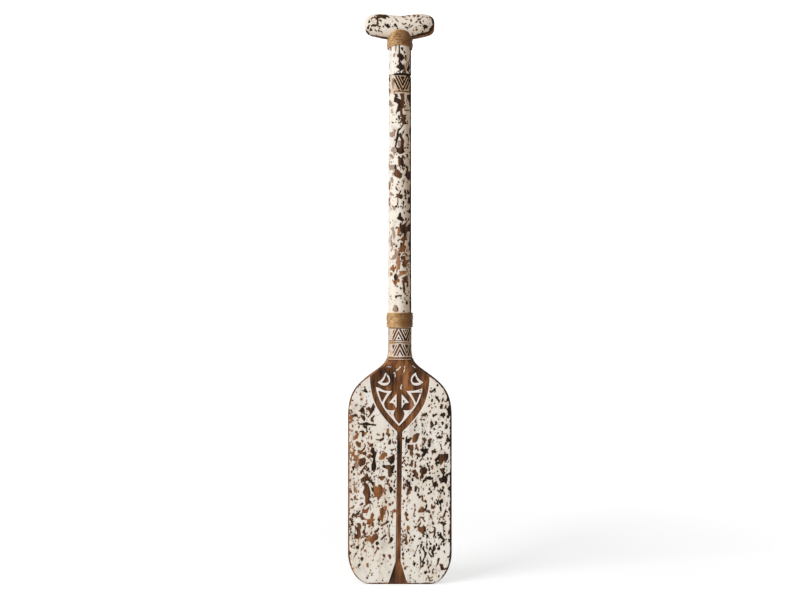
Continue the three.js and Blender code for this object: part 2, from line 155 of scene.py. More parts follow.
def patches(u, v, places):
    """Soft patches added up, each its centre across and up, its half sizes and its height."""
    return sum(
        height * np.exp(-(((u - across) / half_u) ** 2) - ((v - up) / half_v) ** 2)
        for across, up, half_u, half_v, height in places
    )


# %% [markdown]
# ## Where the paint has come off
#
# Old paint breaks off in ragged flakes. A noise texture would chip the paint alike all over, and
# the real paddle is worn in some places and nearly whole in others. So the large flakes are drawn
# as outlines of a few corners, and small ones are ellipses that a seeded generator scatters
# between them, closest together where the paddle is most worn. The surface's own coordinates
# are bent by noise before both are measured: a little for the drawn flakes, and enough to turn
# an ellipse into a splinter.


# %% The surface as a sheet to draw on
FAR, OFF_SHEET = 20 * MM, 180 * MM
COARSE_CELL, COARSE_SWAY = (0.009, 0.009, 0.011), 4.2 * MM
FINE_CELL, FINE_SWAY = (0.0032, 0.0032, 0.0036), 1.9 * MM
GENTLE, HALF_BENT = 0.12, 0.45


def seen(place):
    """Across and up of each point as the camera sees it against the plane through the pole."""
    closer = CAMERA_DISTANCE / (CAMERA_DISTANCE + place[..., 1])
    return place[..., 0] * closer, CAMERA_HEIGHT + (place[..., 2] - CAMERA_HEIGHT) * closer


def bend(place, u, v, seed):
    """Coordinates on the surface, bent by coarse and fine noise."""
    coarse = [turbulence(place, COARSE_CELL, 2, seed + k) * COARSE_SWAY for k in (0.0, 9.3)]
    fine = [turbulence(place, FINE_CELL, 2, seed + k) * FINE_SWAY for k in (3.1, 5.7)]
    return u + coarse[0] + fine[0], v + coarse[1] + fine[1]


def off_sheet(u, hidden):
    """Moves hidden points far to the side, where nothing is drawn."""
    return u + OFF_SHEET * hidden


def on_sheet(place, run, seed):
    """Where each point lies on the sheet: fully bent, half bent for the small chips, and hardly
    bent, as the camera sees it, for the drawn flakes. run is the way round the piece to it."""
    z = place[..., 2]
    u, v = bend(place, run, z, seed)
    x, up = seen(place)
    half = run + HALF_BENT * (u - run), z + HALF_BENT * (v - z)
    return (u, v), half, (x + GENTLE * (u - run), up + GENTLE * (v - z))


# %% Distances to chips and flakes
REACH = 3 * MM
PLAIN_TONE = 0.3
LIT_LEFT_LIFT, SHADE_ACROSS = 0.08, 0.3


def line_distance(x, z, start, end):
    """Distance from points to the straight line between two corners."""
    (ax, az), (bx, bz) = start, end
    ex, ez = bx - ax, bz - az
    t = np.clip(((x - ax) * ex + (z - az) * ez) / max(ex * ex + ez * ez, TINY), 0, 1)
    return np.hypot(x - ax - ex * t, z - az - ez * t)


def outline_distance(x, z, outline):
    """Signed distance from points to a closed outline, negative inside."""
    nearest = np.full(x.shape, np.inf)
    inside = np.zeros(x.shape, dtype=bool)
    for start, end in zip(outline, np.roll(outline, -1, axis=0)):
        nearest = np.minimum(nearest, line_distance(x, z, start, end))
        (ax, az), (bx, bz) = start, end
        if az != bz:
            inside ^= ((az > z) != (bz > z)) & (x < ax + (z - az) / (bz - az) * (bx - ax))
    return np.where(inside, -nearest, nearest)


def chip_field(u, v, chips):
    """Distance to the nearest chip and its tone. A chip is centre, half sizes and tone, in mm."""
    distance, tone = np.full(u.shape, FAR), np.full(u.shape, PLAIN_TONE)
    for cu, cv, half_u, half_v, chip_tone in chips:
        across, up = u - cu * MM, v - cv * MM
        near = (np.abs(across) < half_u * MM + REACH) & (np.abs(up) < half_v * MM + REACH)
        away = np.hypot(across[near] / (half_u * MM), up[near] / (half_v * MM)) - 1
        away = away * min(half_u, half_v) * MM
        tone[near] = np.where(away < distance[near], chip_tone, tone[near])
        distance[near] = np.minimum(distance[near], away)
    return distance, tone


def flake_field(u, v, flakes):
    """Distance to the nearest drawn flake and its tone. Painted light and shade run across each
    flake: warm at its left, where the light falls, and dark at its right.
    """
    distance, tone = np.full(u.shape, FAR), np.full(u.shape, PLAIN_TONE)
    for base, *corners in flakes:
        outline = np.array(corners, dtype=float).reshape(-1, 2) * MM
        low, high = outline.min(axis=0) - REACH, outline.max(axis=0) + REACH
        near = (u > low[0]) & (u < high[0]) & (v > low[1]) & (v < high[1])
        away = outline_distance(u[near], v[near], outline)
        across = (u[near] - low[0]) / (high[0] - low[0])
        # Painted light and shade: each flake is lighter at its left and darker at its right.
        warm = base + LIT_LEFT_LIFT - SHADE_ACROSS * across
        tone[near] = np.where(away < distance[near], warm, tone[near])
        distance[near] = np.minimum(distance[near], away)
    return distance, tone


def nearer(first, second):
    """Of two fields of distance and tone, the nearer one at each point."""
    return np.minimum(first[0], second[0]), np.where(second[0] < first[0], second[1], first[1])


# %% Scattered chips
CHIP_HALF, CHIP_SPREAD, CHIP_LARGEST, CHIP_GROWN = 0.95, 0.45, 3.4, 0.35


def scatter(tries, low, high, places, base, tone_at, seed):
    """Small chips thrown at a rectangle of the surface, low and high being its corners in mm.
    A chip stays by a base chance, and by a greater one in the worn places."""
    dice = np.random.default_rng(seed)
    chips = []
    for _ in range(tries):
        u, v = dice.uniform(low[0], high[0]), dice.uniform(low[1], high[1])
        size = min(CHIP_HALF * math.exp(dice.normal(0, CHIP_SPREAD)), CHIP_LARGEST)
        tall = dice.uniform(0.7, 2.1)
        tone = tone_at(u, v) + dice.normal(0, 0.2)
        if dice.random() < base + patches(u, v, places):
            chips.append((u, v, size + CHIP_GROWN, size * tall + CHIP_GROWN, min(max(tone, 0), 1)))
    return chips


def dotted_lines(count, low, high, tone_at, seed):
    """Strings of pin-head chips, where a crack in the paint follows the grain."""
    dice = np.random.default_rng(seed)
    chips = []
    for _ in range(count):
        u, v = dice.uniform(low[0], high[0]), dice.uniform(low[1], high[1])
        end, lean = v + dice.uniform(8, 42), dice.normal(0, 0.06)
        while v < end:
            size = dice.uniform(0.6, 1.15)
            beside, tall = dice.normal(0, 0.35), dice.uniform(0.8, 2.6)
            chips.append((u + beside, v, size, size * tall, tone_at(u, v)))
            step = dice.uniform(2.4, 7)
            u, v = u + lean * step, v + step
    return chips


# %% [markdown]
# ## The carved board
#
# The section of the board is a rectangle with rounded corners. Up the shoulders it grows thicker
# and rounder until it is the circle of the neck. A loft between two drawn sections would bulge on
# the way, so every ring is worked out at its own height. The outline is a straight side, an
# elliptical corner below, and two curves above that meet where the shoulder turns from round to
# hollow.

# %% Sizes of the board
blade_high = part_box("blade")[1]
HALF_WIDTH, NECK_TOP = blade_high.x, blade_high.z
NECK_RADIUS, HALF_THICKNESS = 20.6 * MM, 11 * MM
ARRIS, FOOT_ARRIS = 5 * MM, 2 * MM
CORNER_REACH, CORNER_RISE = 38.4 * MM, 56 * MM
NECK_START = NECK_TOP - 47 * MM
SIDE_TOP = NECK_START - 124 * MM
SWELL_RISE = 104 * MM
ROUNDING_START, ROUNDING_RISE = NECK_START - 62 * MM, 53 * MM
SHOULDER_TURN = np.array([40.5, 374.6]) * MM
SHOULDER_SLOPE = math.radians(36.2)
SIDE_PULL, ROUND_PULL, HOLLOW_PULL, NECK_PULL = 0.584, 0.844, 0.72, 0.604
print(f"board {2000 * HALF_WIDTH:.0f} mm wide, neck top at {1000 * NECK_TOP:.0f} mm")


# %% Outline of the board
def bezier(p0, p1, p2, p3, steps=60):
    """Points along one cubic curve."""
    t = np.linspace(0, 1, steps)[:, None]
    return (1 - t) ** 3 * p0 + 3 * (1 - t) ** 2 * t * p1 + 3 * (1 - t) * t**2 * p2 + t**3 * p3


def shoulder_curve():
    """From the straight side to the neck, in two curves that share a slope where they meet."""
    slope = np.array([-math.cos(SHOULDER_SLOPE), math.sin(SHOULDER_SLOPE)])
    side, neck = np.array([HALF_WIDTH, SIDE_TOP]), np.array([NECK_RADIUS, NECK_START])
    turn, up = SHOULDER_TURN, np.array([0, 1])
    from_side = side + up * SIDE_PULL * (turn[1] - side[1])
    to_turn = turn - slope * ROUND_PULL * (side[0] - turn[0])
    from_turn = turn + slope * HOLLOW_PULL * (turn[0] - neck[0])
    to_neck = neck - up * NECK_PULL * (neck[1] - turn[1])
    return np.vstack([bezier(side, from_side, to_turn, turn), bezier(turn, from_turn, to_neck, neck)[1:]])


SHOULDER = shoulder_curve()


def half_width(z):
    """Half the width of the board at each height."""
    corner = 1 - np.sqrt(np.clip(1 - (1 - np.clip(z / CORNER_RISE, 0, 1)) ** 2, 0, 1))
    lower = HALF_WIDTH - CORNER_REACH * corner
    upper = np.interp(z, SHOULDER[:, 1], SHOULDER[:, 0])
    return np.where(z < SIDE_TOP, lower, upper)


def half_thickness(z):
    """Half the thickness, which swells up to the neck and is rounded off along the foot."""
    swell = smooth((z - (NECK_START - SWELL_RISE)) / SWELL_RISE)
    thick = HALF_THICKNESS + (NECK_RADIUS - HALF_THICKNESS) * swell
    below = np.clip(FOOT_ARRIS - z, 0, FOOT_ARRIS)
    return thick - (FOOT_ARRIS - np.sqrt(FOOT_ARRIS**2 - below**2))


def corner_radius(z):
    """The rounding of the section's corners, from an arris to the circle of the neck."""
    radius = ARRIS + (NECK_RADIUS - ARRIS) * smooth((z - ROUNDING_START) / ROUNDING_RISE)
    return np.minimum(np.minimum(radius, half_thickness(z)), half_width(z))


# %% Section of the board
def board_ring(z, quarter):
    """Points and outward directions of the section. quarter runs 0 to 4 from the front's middle.
    Also the way round to each point from there, and from there to the middle of the side."""
    wide, thick, radius = half_width(z), half_thickness(z), corner_radius(z)
    flat, side = wide - radius, thick - radius
    arc = math.pi / 2 * radius
    length = flat + arc + side
    turn = quarter % 4
    along = (1 - np.abs(turn % 2 - 1)) * length
    angle = np.clip((along - flat) / radius, 0, math.pi / 2)
    x = np.minimum(along, flat) + radius * np.sin(angle)
    y = side + radius * np.cos(angle) - np.clip(along - flat - arc, 0, None)
    right = np.where(turn < 2, 1, -1)
    front = np.where((turn < 1) | (turn >= 3), -1, 1)
    place = np.stack([x * right, y * front, z + 0 * x], axis=-1)
    out = np.stack([np.sin(angle) * right, np.cos(angle) * front, 0 * x], axis=-1)
    run = right * np.where(front < 0, along, 2 * length - along)
    return place, out, run, length


# %% [markdown]
# ## The shield and the groove
#
# The carver cut away the ground and left islands of paint standing: two crescents, two bays and
# two small pockets, inside a shield whose point runs into a groove down to the flared foot. A
# boolean with carved blocks would leave hard, thin walls. Here each island is an outline of a few
# curves, drawn once and mirrored. From each outline comes a signed distance, and the cut is
# everything inside the shield that is outside the islands.


# %% Outlines of the islands, right-hand side, in millimetres across and up
def curve(*pieces):
    """An outline from straight and curved pieces, each (end,) or (control, end), as mm points."""
    here = np.array(pieces[0][0], dtype=float)
    points = [here]
    for piece in pieces[1:]:
        end = np.array(piece[-1], dtype=float)
        if len(piece) == 1:
            points.append(end)
        else:
            t = np.linspace(0, 1, 9)[1:, None]
            control = np.array(piece[0], dtype=float)
            points.extend((1 - t) ** 2 * here + 2 * (1 - t) * t * control + t**2 * end)
        here = end
    return np.array(points) * MM


CRESCENT = curve(
    [(27.8, 370)], [(19.5, 364), (19.3, 356.5)], [(20, 347), (29.5, 346.8)],
    [(36.5, 347.4), (41, 352.8)], [(30.5, 357.5), (27.8, 370)],
)
BAY = curve(
    [(12.4, 337.6)], [(27, 336.4), (40.6, 341.8)], [(38, 322), (25.6, 305.6)],
    [(14, 290), (-1.2, 275)], [(-0.2, 279.6)], [(8, 288), (9.6, 296)], [(9.4, 301.5), (5.6, 305)],
    [(8.6, 303.2), (13.7, 303.2)], [(25.5, 303.6), (26.2, 314.4)], [(25.6, 320.6), (12.4, 337.6)],
)
POCKET = curve([(4.4, 332.4)], [(17.8, 316.4)], [(7.4, 317.6), (5.4, 307.6)], [(4.4, 307.6)])
CRESCENT_PIT = curve(
    [(26.8, 364.6)], [(21, 360), (22.2, 354)], [(25, 350.6), (34, 352.6)], [(28.5, 356), (26.8, 364.6)],
)
BAY_PIT = curve([(20.5, 333.8)], [(36, 334.4)], [(33, 324), (29.6, 316.5)], [(26, 326), (20.5, 333.8)])
POCKET_PIT = curve([(7.2, 321.4)], [(9.4, 320.2)], [(9.2, 318.4)], [(7, 319)])
SHIELD_SIDE = curve(
    [(0, 262)], [(4.6, 262)], [(4.6, 266)], [(20, 281), (30.2, 294.5)], [(41.5, 309), (46, 324)],
    [(51.4, 340), (52, 363)],
)
for name, outline in (("crescent", CRESCENT), ("bay", BAY), ("pocket", POCKET)):
    print(f"{name}: an outline of {len(outline)} points")


# %% The cut as one distance field
ISLANDS_OFF = 1.2 * MM
BAY_LIFT, PIT_GROWN = 3 * MM, 0.4 * MM
GROOVE_HALF, GROOVE_LEAN = 4.5 * MM, 0.013
GROOVE_TOP, GROOVE_END = 266 * MM, 275 * MM
FOOT_RISE, FOOT_HALF = 40 * MM, 17 * MM
SHIELD_SIDE_TOP, FIELD_TOP = 364 * MM, 392.4 * MM
RIM = 3.4 * MM


def shield_outline():
    """The brown ground: from the groove up the shield's side, then along the shoulder to the neck."""
    heights = np.linspace(SHIELD_SIDE_TOP, FIELD_TOP, 14)
    shoulder = np.stack([half_width(heights) - RIM, heights], axis=1)
    right = np.vstack([SHIELD_SIDE, shoulder])
    left = right[::-1] * [-1, 1]
    return np.vstack([right, left])


def groove_middle(z):
    """The groove was cut by eye, and wanders a little to the left on its way down."""
    return -GROOVE_LEAN * np.clip(GROOVE_TOP - z, 0, None)


def groove_distance(x, z):
    """Signed distance to the groove down the middle with its flared foot."""
    wider = FOOT_HALF - GROOVE_HALF
    flare = wider * np.clip(1 - z / FOOT_RISE, 0, 2)
    lean = np.where(z < FOOT_RISE, math.cos(math.atan(wider / FOOT_RISE)), 1)
    distance = (np.abs(x - groove_middle(z)) - GROOVE_HALF - flare) * lean
    return np.maximum(distance, z - GROOVE_END)


def nearest_outline(drawn):
    """Distance to the nearest of some outlines, each with its own coordinates across and up."""
    return np.minimum.reduce([outline_distance(across, up, outline) for outline, across, up in drawn])


def cut_field(x, z):
    """Distance to the carved ground, negative inside it. The islands were cut by eye too: the
    crescents lie a little right of the middle, the bays and pockets a little left of it."""
    low, high = np.abs(x + ISLANDS_OFF), np.abs(x - ISLANDS_OFF) + ISLANDS_OFF
    lifted = z - BAY_LIFT * until(x, -24, 14)
    islands = nearest_outline([(CRESCENT, high, z), (BAY, low, lifted), (POCKET, low, z)])
    pits = nearest_outline([(CRESCENT_PIT, high, z), (BAY_PIT, low, lifted), (POCKET_PIT, low, z)])
    ground = np.maximum(outline_distance(x, z, shield_outline()), -islands)
    return np.minimum(np.minimum(ground, groove_distance(x, z)), pits - PIT_GROWN)


# %% [markdown]
# ## The zigzag bands
#
# Chevrons run round the neck in two bands and once round the pole. All of them follow one
# zigzag line: parallel stripes on both sides of it are cut away in turn, and rings close the
# band above and below. A modelled chevron copied round the neck would have to be bent to fit. On
# the surface this is only the distance to the zigzag, so the same few lines draw every band.


# %% Zigzag bands
FRONT_REACH = 24 * MM


def zigzag(u, z, line, band, repeats, around, shift, stripes):
    """Distance to the cut stripes along a zigzag, negative inside. line is the height of its
    points and how far the corners lie below them, band the heights that the cuts keep within.
    A stripe is two distances from the zigzag and how far it stays from the band's edges."""
    point, drop = line
    period = around / repeats
    phase = np.abs(((u - shift) / period + 0.5) % 1 - 0.5) * 2
    lean = math.cos(math.atan(drop / (period / 2))) * math.copysign(1, drop)
    inside = (point - drop * phase - z) * lean
    cut = np.full(inside.shape, FAR)
    for start, end, margin in stripes:
        stripe = np.maximum(start * MM - inside, inside - end * MM)
        limits = np.maximum(band[0] - z, z - band[1]) + margin * MM
        cut = np.minimum(cut, np.maximum(stripe, limits))
    return cut


def with_rings(cut, z, rings):
    """The cuts together with rings cut round the piece, each its height and half its width."""
    for height, half in rings:
        cut = np.minimum(cut, np.abs(z - height) - half)
    return cut


def filled_left(cut, u, start, depth):
    """Paint has half filled the cuts on the front's left, from start on."""
    return cut + depth * until(u, start, 4) * (np.abs(u) < FRONT_REACH)


# %% The neck's two bands
NECK_STRIPES = [
    (0.75, 3.4, 0), (5.4, 99, 1.5), (-4.3, -0.75, 0), (-8.0, -5.9, 1.1), (-99, -9.6, 1.1),
]
NECK_CHEVRONS, NECK_DROP = 5, 25.3 * MM
UPPER_LINE, UPPER_BAND, UPPER_SHIFT = (444.7 * MM, NECK_DROP), (426.2 * MM, 445.6 * MM), -2.1 * MM
LOWER_LINE, LOWER_BAND, LOWER_SHIFT = (413.4 * MM, NECK_DROP), (398.6 * MM, 418.9 * MM), 0.2 * MM
NECK_RINGS = np.array([(446.6, 0.6), (425.6, 0.6), (422.6, 0.6), (419.6, 0.5), (395.1, 1.4)]) * MM


def neck_cuts(u, z):
    """Both bands and their rings, round the neck."""
    around = 2 * math.pi * NECK_RADIUS
    upper = zigzag(u, z, UPPER_LINE, UPPER_BAND, NECK_CHEVRONS, around, UPPER_SHIFT, NECK_STRIPES)
    lower = zigzag(u, z, LOWER_LINE, LOWER_BAND, NECK_CHEVRONS, around, LOWER_SHIFT, NECK_STRIPES)
    return with_rings(filled_left(np.minimum(upper, lower), u, -12, 1.3 * MM), z, NECK_RINGS)


# %% [markdown]
# ## The board's own wear
#
# Each row below is one flake: its tone and then its corners, across and up in millimetres, as
# they are seen from the front. A tone runs from 0 for black wood over 0.4 for brown and 0.8 for
# orange to 1 for weathered grey. The worn places that follow are soft patches where more small
# chips stay. The back can't be seen in the photograph, so it repeats every second flake, a little
# higher, and has small chips of its own.

# %% Flakes of the board
BOARD_FLAKES = [
    (0.55, -88, 295, -83, 294, -77, 297, -73, 293, -74, 289, -77, 292, -82, 290, -85, 280, -87, 281),
    (0.2, -70, 295, -62, 293, -60, 288, -62, 282, -69, 292),
    (0.3, -50, 303, -45, 303, -48, 298, -56, 288, -57, 291, -53, 296),
    (0.45, -48, 293, -43, 294, -44, 291, -47, 290),
    (0.1, -75, 279, -65, 280, -58, 282, -51, 279, -41, 278, -42, 275, -51, 276, -56, 276, -58, 272,
      -59, 276, -72, 277), (0.12, -69, 265, -65, 268, -62, 265, -63, 257, -65, 254, -67, 258, -66, 262),
    (0.15, -59, 274, -57, 273, -57, 267, -55, 265, -57, 263, -59, 263),
    (0.7, -78, 260, -74, 263, -71, 262, -75, 251, -77, 254),
    (0.65, -78, 246, -75, 249, -68, 244, -68, 239, -73, 237),
    (0.35, -61, 243, -59, 241, -61, 234, -70, 226, -71, 229, -66, 234, -62, 238),
    (0.25, -67, 228, -61, 230, -58, 228, -59, 223, -64, 224),
    (0.78, -82, 232, -76, 233, -79, 229, -79, 224, -74, 223, -71, 218, -71, 213, -76, 214, -80, 218,
      -82, 224), (0.42, -71, 217, -61, 220, -59, 216, -60, 209, -64, 206, -70, 204, -75, 207),
    (0.5, -61, 207, -58, 205, -62, 200, -66, 192, -70, 191, -68, 196),
    (0.32, -52, 231, -49, 238, -45, 237, -44, 231, -40, 229, -41, 225, -43, 218, -41, 204, -42, 198,
      -48, 197, -50, 202, -47, 218, -51, 221, -54, 216, -58, 221, -57, 224, -52, 222, -48, 225),
    (0.2, -56, 203, -54, 202, -53, 198, -56, 195, -58, 197),
    (0.25, -51, 193, -47, 194, -48, 190, -50, 190),
    (0.62, -31, 227, -25, 229, -22, 227, -23, 221, -31, 218, -36, 216, -37, 220),
    (0.35, -18, 252, -15, 251, -15, 246, -17, 242, -21, 243),
    (0.45, -29, 244, -26, 246, -25, 244, -27, 242),
    (0.35, -43, 252, -36, 252, -30, 254, -29, 251, -32, 248, -42, 250),
    (0.45, -18, 235, -10, 234, -10, 233, -17, 233),
    (0.8, -23, 270, -19, 271, -18, 268, -20, 260, -22, 263),
    (0.3, -19, 221, -10, 223, -8, 217, -11, 209, -15, 211, -18, 210, -21, 214),
    (0.42, -26, 206, -17, 207, -12, 204, -9, 200, -12, 197, -10, 192, -16, 191, -15, 186, -19, 184,
      -21, 187, -21, 199, -25, 201),
    (0.38, -64, 186, -56, 192, -54, 184, -46, 175, -47, 169, -55, 179, -68, 178, -70, 181),
    (0.34, -64, 174, -61, 177, -55, 172, -51, 158, -53, 146, -51, 134, -54, 139, -60, 134, -61, 151,
      -65, 158, -62, 167),
    (0.6, -47, 177, -44, 176, -43, 170, -39, 168, -33, 173, -27, 161, -31, 153, -35, 147, -41, 150,
      -46, 155), (0.4, -20, 168, -15, 169, -11, 164, -16, 155, -18, 160),
    (0.2, -23, 179, -20, 180, -19, 175, -22, 175),
    (0.7, -81, 178, -79, 179, -79, 168, -74, 161, -79, 157, -81, 162),
    (0.6, -81, 151, -77, 154, -76, 147, -80, 144),
    (0.5, -71, 137, -65, 141, -63, 139, -66, 136, -70, 135),
    (0.45, -67, 127, -64, 131, -60, 128, -56, 133, -53, 133, -57, 121, -63, 122),
    (0.52, -71, 117, -69, 122, -66, 117, -62, 115, -63, 110, -67, 110),
    (0.6, -51, 120, -48, 124, -45, 119, -47, 113, -45, 99, -47, 96, -50, 104, -52, 102, -53, 95, -54,
      96, -54, 104, -57, 106, -59, 111, -52, 112),
    (0.55, -35, 131, -25, 131, -25, 119, -28, 118, -30, 106, -32, 107, -35, 119),
    (0.5, -35, 101, -20, 109, -18, 106, -33, 99),
    (0.3, -21, 123, -19, 125, -20, 119, -19, 115, -22, 120),
    (0.55, -15, 123, -11, 124, -12, 111, -16, 117, -12, 119),
    (0.35, -18, 103, -15, 102, -19, 95, -17, 82, -20, 82, -20, 96),
    (0.3, -76, 105, -69, 104, -67, 98, -69, 94, -68, 82, -71, 78, -77, 76, -79, 85, -74, 85, -77, 95,
      -74, 98), (0.28, -62, 103, -59, 105, -61, 90, -58, 85, -62, 82, -65, 88, -65, 92, -62, 94),
    (0.5, -61, 72, -57, 82, -53, 84, -50, 80, -46, 85, -41, 87, -37, 80, -39, 75, -43, 74, -47, 68,
      -55, 73), (0.6, -66, 60, -63, 69, -61, 68, -64, 58),
    (0.3, -35, 75, -29, 82, -25, 86, -23, 83, -33, 74), (0.08, -70, 42, -66, 46, -63, 42, -67, 37),
    (0.15, -74, 31, -70, 35, -68, 32, -72, 28), (0.7, -45, 54, -41, 56, -41, 53, -44, 48),
    (0.85, -22, 49, -16, 50, -15, 44, -17, 40), (0.3, -83, 38, -78, 52, -76, 51, -81, 42),
    (0.15, -60, 8, -58, 12, -55, 8, -57, 6), (0.3, 36, 293, 41, 297, 42, 294, 46, 294, 45, 291),
    (0.3, 39, 287, 44, 287, 44, 284, 40, 285), (0.45, 58, 294, 65, 298, 66, 295, 59, 290),
    (0.25, 70, 294, 75, 298, 80, 296, 77, 288, 75, 291),
    (0.2, 84, 303, 91, 303, 90, 297, 87, 294, 84, 296),
    (0.4, 61, 284, 65, 283, 66, 278, 59, 275, 62, 280), (0.1, 72, 281, 75, 284, 78, 280, 76, 278),
    (0.25, 66, 271, 70, 275, 74, 273), (0.05, 78, 271, 80, 274, 81, 271, 79, 269),
    (0.6, 25, 282, 29, 286, 30, 279), (0.25, 41, 262, 46, 267, 46, 263, 43, 261),
    (0.25, 52, 267, 55, 265, 55, 261, 52, 263), (0.15, 46, 260, 51, 260, 49, 257),
    (0.5, 40, 251, 43, 256, 48, 250, 44, 247), (0.15, 64, 254, 70, 259, 72, 256, 76, 255, 72, 252),
    (0.05, 9, 247, 11, 258, 14, 251, 18, 248, 16, 244),
    (0.5, 18, 256, 22, 254, 23, 259, 31, 263, 35, 262, 37, 265, 31, 249, 28, 246, 22, 245, 22, 252),
    (0.3, 13, 242, 24, 242, 24, 233, 22, 231, 24, 226, 21, 221, 17, 225, 18, 233, 14, 234),
    (0.65, 27, 242, 30, 244, 31, 238, 34, 233, 32, 230, 27, 237),
    (0.4, 26, 226, 30, 228, 36, 225, 32, 221),
    (0.15, 36, 231, 42, 235, 50, 235, 50, 231, 42, 221, 38, 224, 41, 228),
    (0.08, 52, 248, 56, 247, 52, 243, 53, 239, 50, 237, 48, 241),
    (0.2, 55, 232, 59, 233, 63, 231, 68, 231, 58, 227, 57, 221),
    (0.1, 70, 244, 73, 243, 74, 236, 72, 237),
    (0.25, 60, 216, 66, 221, 68, 226, 75, 226, 85, 226, 86, 220, 83, 215, 77, 213, 72, 205, 67, 215,
      62, 213), (0.1, 51, 213, 54, 213, 54, 210, 52, 209), (0.1, 50, 206, 53, 207, 53, 203, 51, 203),
    (0.3, 20, 215, 22, 216, 24, 209, 22, 202, 18, 205),
    (0.35, 26, 213, 31, 213, 28, 210, 30, 203, 26, 203),
    (0.55, 19, 196, 27, 199, 33, 191, 32, 185, 30, 181, 27, 184, 26, 190),
    (0.45, 34, 195, 37, 203, 46, 202, 49, 198, 47, 191, 42, 191, 42, 185, 37, 182, 34, 185, 37, 190),
    (0.1, 44, 182, 48, 185, 54, 188, 57, 182, 54, 180),
    (0.2, 69, 200, 73, 201, 77, 197, 81, 193, 76, 189, 73, 193),
    (0.1, 69, 181, 77, 188, 84, 183, 82, 172, 77, 176, 72, 174),
    (0.4, 57, 176, 59, 177, 60, 169, 57, 168), (0.2, 63, 178, 66, 178, 65, 172, 62, 164),
    (0.3, 83, 165, 86, 169, 91, 168, 89, 160), (0.4, 6, 182, 9, 184, 10, 182, 8, 179),
    (0.05, 13, 181, 16, 177, 19, 179, 18, 171, 22, 167, 18, 162, 14, 162, 16, 171),
    (0.3, 48, 158, 52, 159, 53, 155, 51, 154), (0.3, 31, 156, 33, 157, 35, 152, 32, 153),
    (0.5, 38, 155, 41, 152, 42, 142, 45, 145, 42, 141, 38, 144),
    (0.05, 68, 142, 71, 146, 73, 136, 73, 131, 70, 138), (0.15, 82, 143, 84, 141, 84, 133, 82, 134),
    (0.1, 87, 144, 91, 146, 91, 139, 88, 139),
    (0.1, 79, 127, 81, 130, 82, 125, 77, 115, 76, 109, 75, 110, 75, 116),
    (0.08, 69, 105, 74, 108, 82, 104, 77, 98, 78, 86, 80, 83, 77, 82, 75, 102),
    (0.05, 70, 88, 72, 89, 74, 83, 80, 75, 78, 73, 71, 78, 69, 80),
    (0.1, 77, 71, 79, 64, 77, 64, 75, 68), (0.05, 73, 23, 82, 27, 83, 24, 77, 22),
    (0.5, 32, 126, 38, 134, 42, 132, 44, 127, 42, 123, 32, 123),
    (0.35, 26, 131, 28, 131, 28, 126, 25, 123),
    (0.5, 8, 120, 10, 125, 16, 119, 13, 116, 11, 110, 10, 116),
    (0.3, 37, 117, 42, 115, 44, 119, 42, 111, 46, 108, 43, 106, 38, 114),
    (0.5, 32, 111, 36, 113, 36, 110, 33, 107),
    (0.35, 32, 101, 36, 106, 38, 104, 34, 98, 41, 98, 42, 102, 46, 97, 46, 91, 43, 88, 46, 83, 40, 85,
      31, 92), (0.5, 52, 118, 55, 121, 57, 114, 58, 108, 54, 114), (0.4, 57, 125, 61, 126, 58, 118),
    (0.4, 68, 123, 73, 126, 70, 122), (0.3, 60, 98, 63, 97, 63, 86, 60, 80, 62, 73, 58, 80, 59, 88),
    (0.3, 11, 82, 13, 84, 13, 75, 15, 69, 12, 66, 8, 68, 10, 73, 6, 74),
    (0.15, 16, 75, 18, 78, 19, 74, 17, 71), (0.08, 12, 94, 18, 87, 17, 84, 14, 86),
    (0.02, 36, 72, 38, 69, 41, 66, 39, 64), (0.3, 32, 67, 34, 66, 30, 59, 28, 51, 27, 54),
    (0.1, 38, 61, 42, 61, 47, 49, 42, 39, 42, 28, 39, 28, 39, 38, 43, 46, 43, 53),
    (0.3, 34, 53, 36, 56, 38, 52, 35, 50), (0.1, 35, 47, 38, 46, 37, 24, 32, 21, 36, 25),
    (0.15, 49, 54, 51, 54, 57, 46, 55, 43), (0.3, 47, 42, 48, 43, 50, 34, 46, 29, 48, 35),
    (0.15, 50, 59, 57, 60, 56, 58, 51, 57), (0.1, -71, 338, -63, 337, -61, 343, -56, 335, -57, 333),
    (0.15, -73, 301, -64, 310, -61, 301, -64, 298, -70, 300),
    (0.2, -58, 305, -54, 309, -51, 306, -48, 312, -46, 310, -44, 304, -52, 295, -54, 301),
    (0.05, 64, 346, 66, 350, 68, 347, 67, 343), (0.15, 60, 341, 63, 342, 63, 337, 54, 332, 54, 334),
    (0.05, 73, 318, 76, 326, 78, 323, 75, 316), (0.05, 81, 318, 83, 325, 85, 319, 82, 317),
    (0.1, 83, 306, 87, 310, 90, 295, 84, 295), (0.1, 38, 295, 48, 299, 49, 293, 38, 293),
    (0.15, 72, 297, 79, 299, 81, 293, 72, 293),
]
BOARD_WORN = [
    (-48, 195, 42, 75, 0.55), (-55, 110, 40, 50, 0.45), (45, 215, 46, 60, 0.6),
    (62, 290, 30, 45, 0.28), (-60, 285, 22, 28, 0.3), (60, 85, 34, 60, 0.55),
    (-88, 200, 6, 150, 0.6), (88, 230, 6, 150, 0.6), (0, 200, 22, 60, 0.2),
]
print(f"{len(BOARD_FLAKES)} flakes drawn on the board")

# %% The board's wear as one field
BACK_LIFT = 7 * MM
LIT_EDGE_TONE, SHADED_EDGE_TONE = 0.52, 0.14
ARRIS_WORN, SHOULDER_WORN, FOOT_WORN = 3.3 * MM, 4.4 * MM, 2.6 * MM


def board_tone(u, v):
    """Chips are warm on the left, darker towards the right and the foot. The fall from left to
    right is partly painted light and shade.
    """
    return 0.42 - 0.3 * smooth((u + 60) / 100) + 0.12 * math.sin(v / 17)


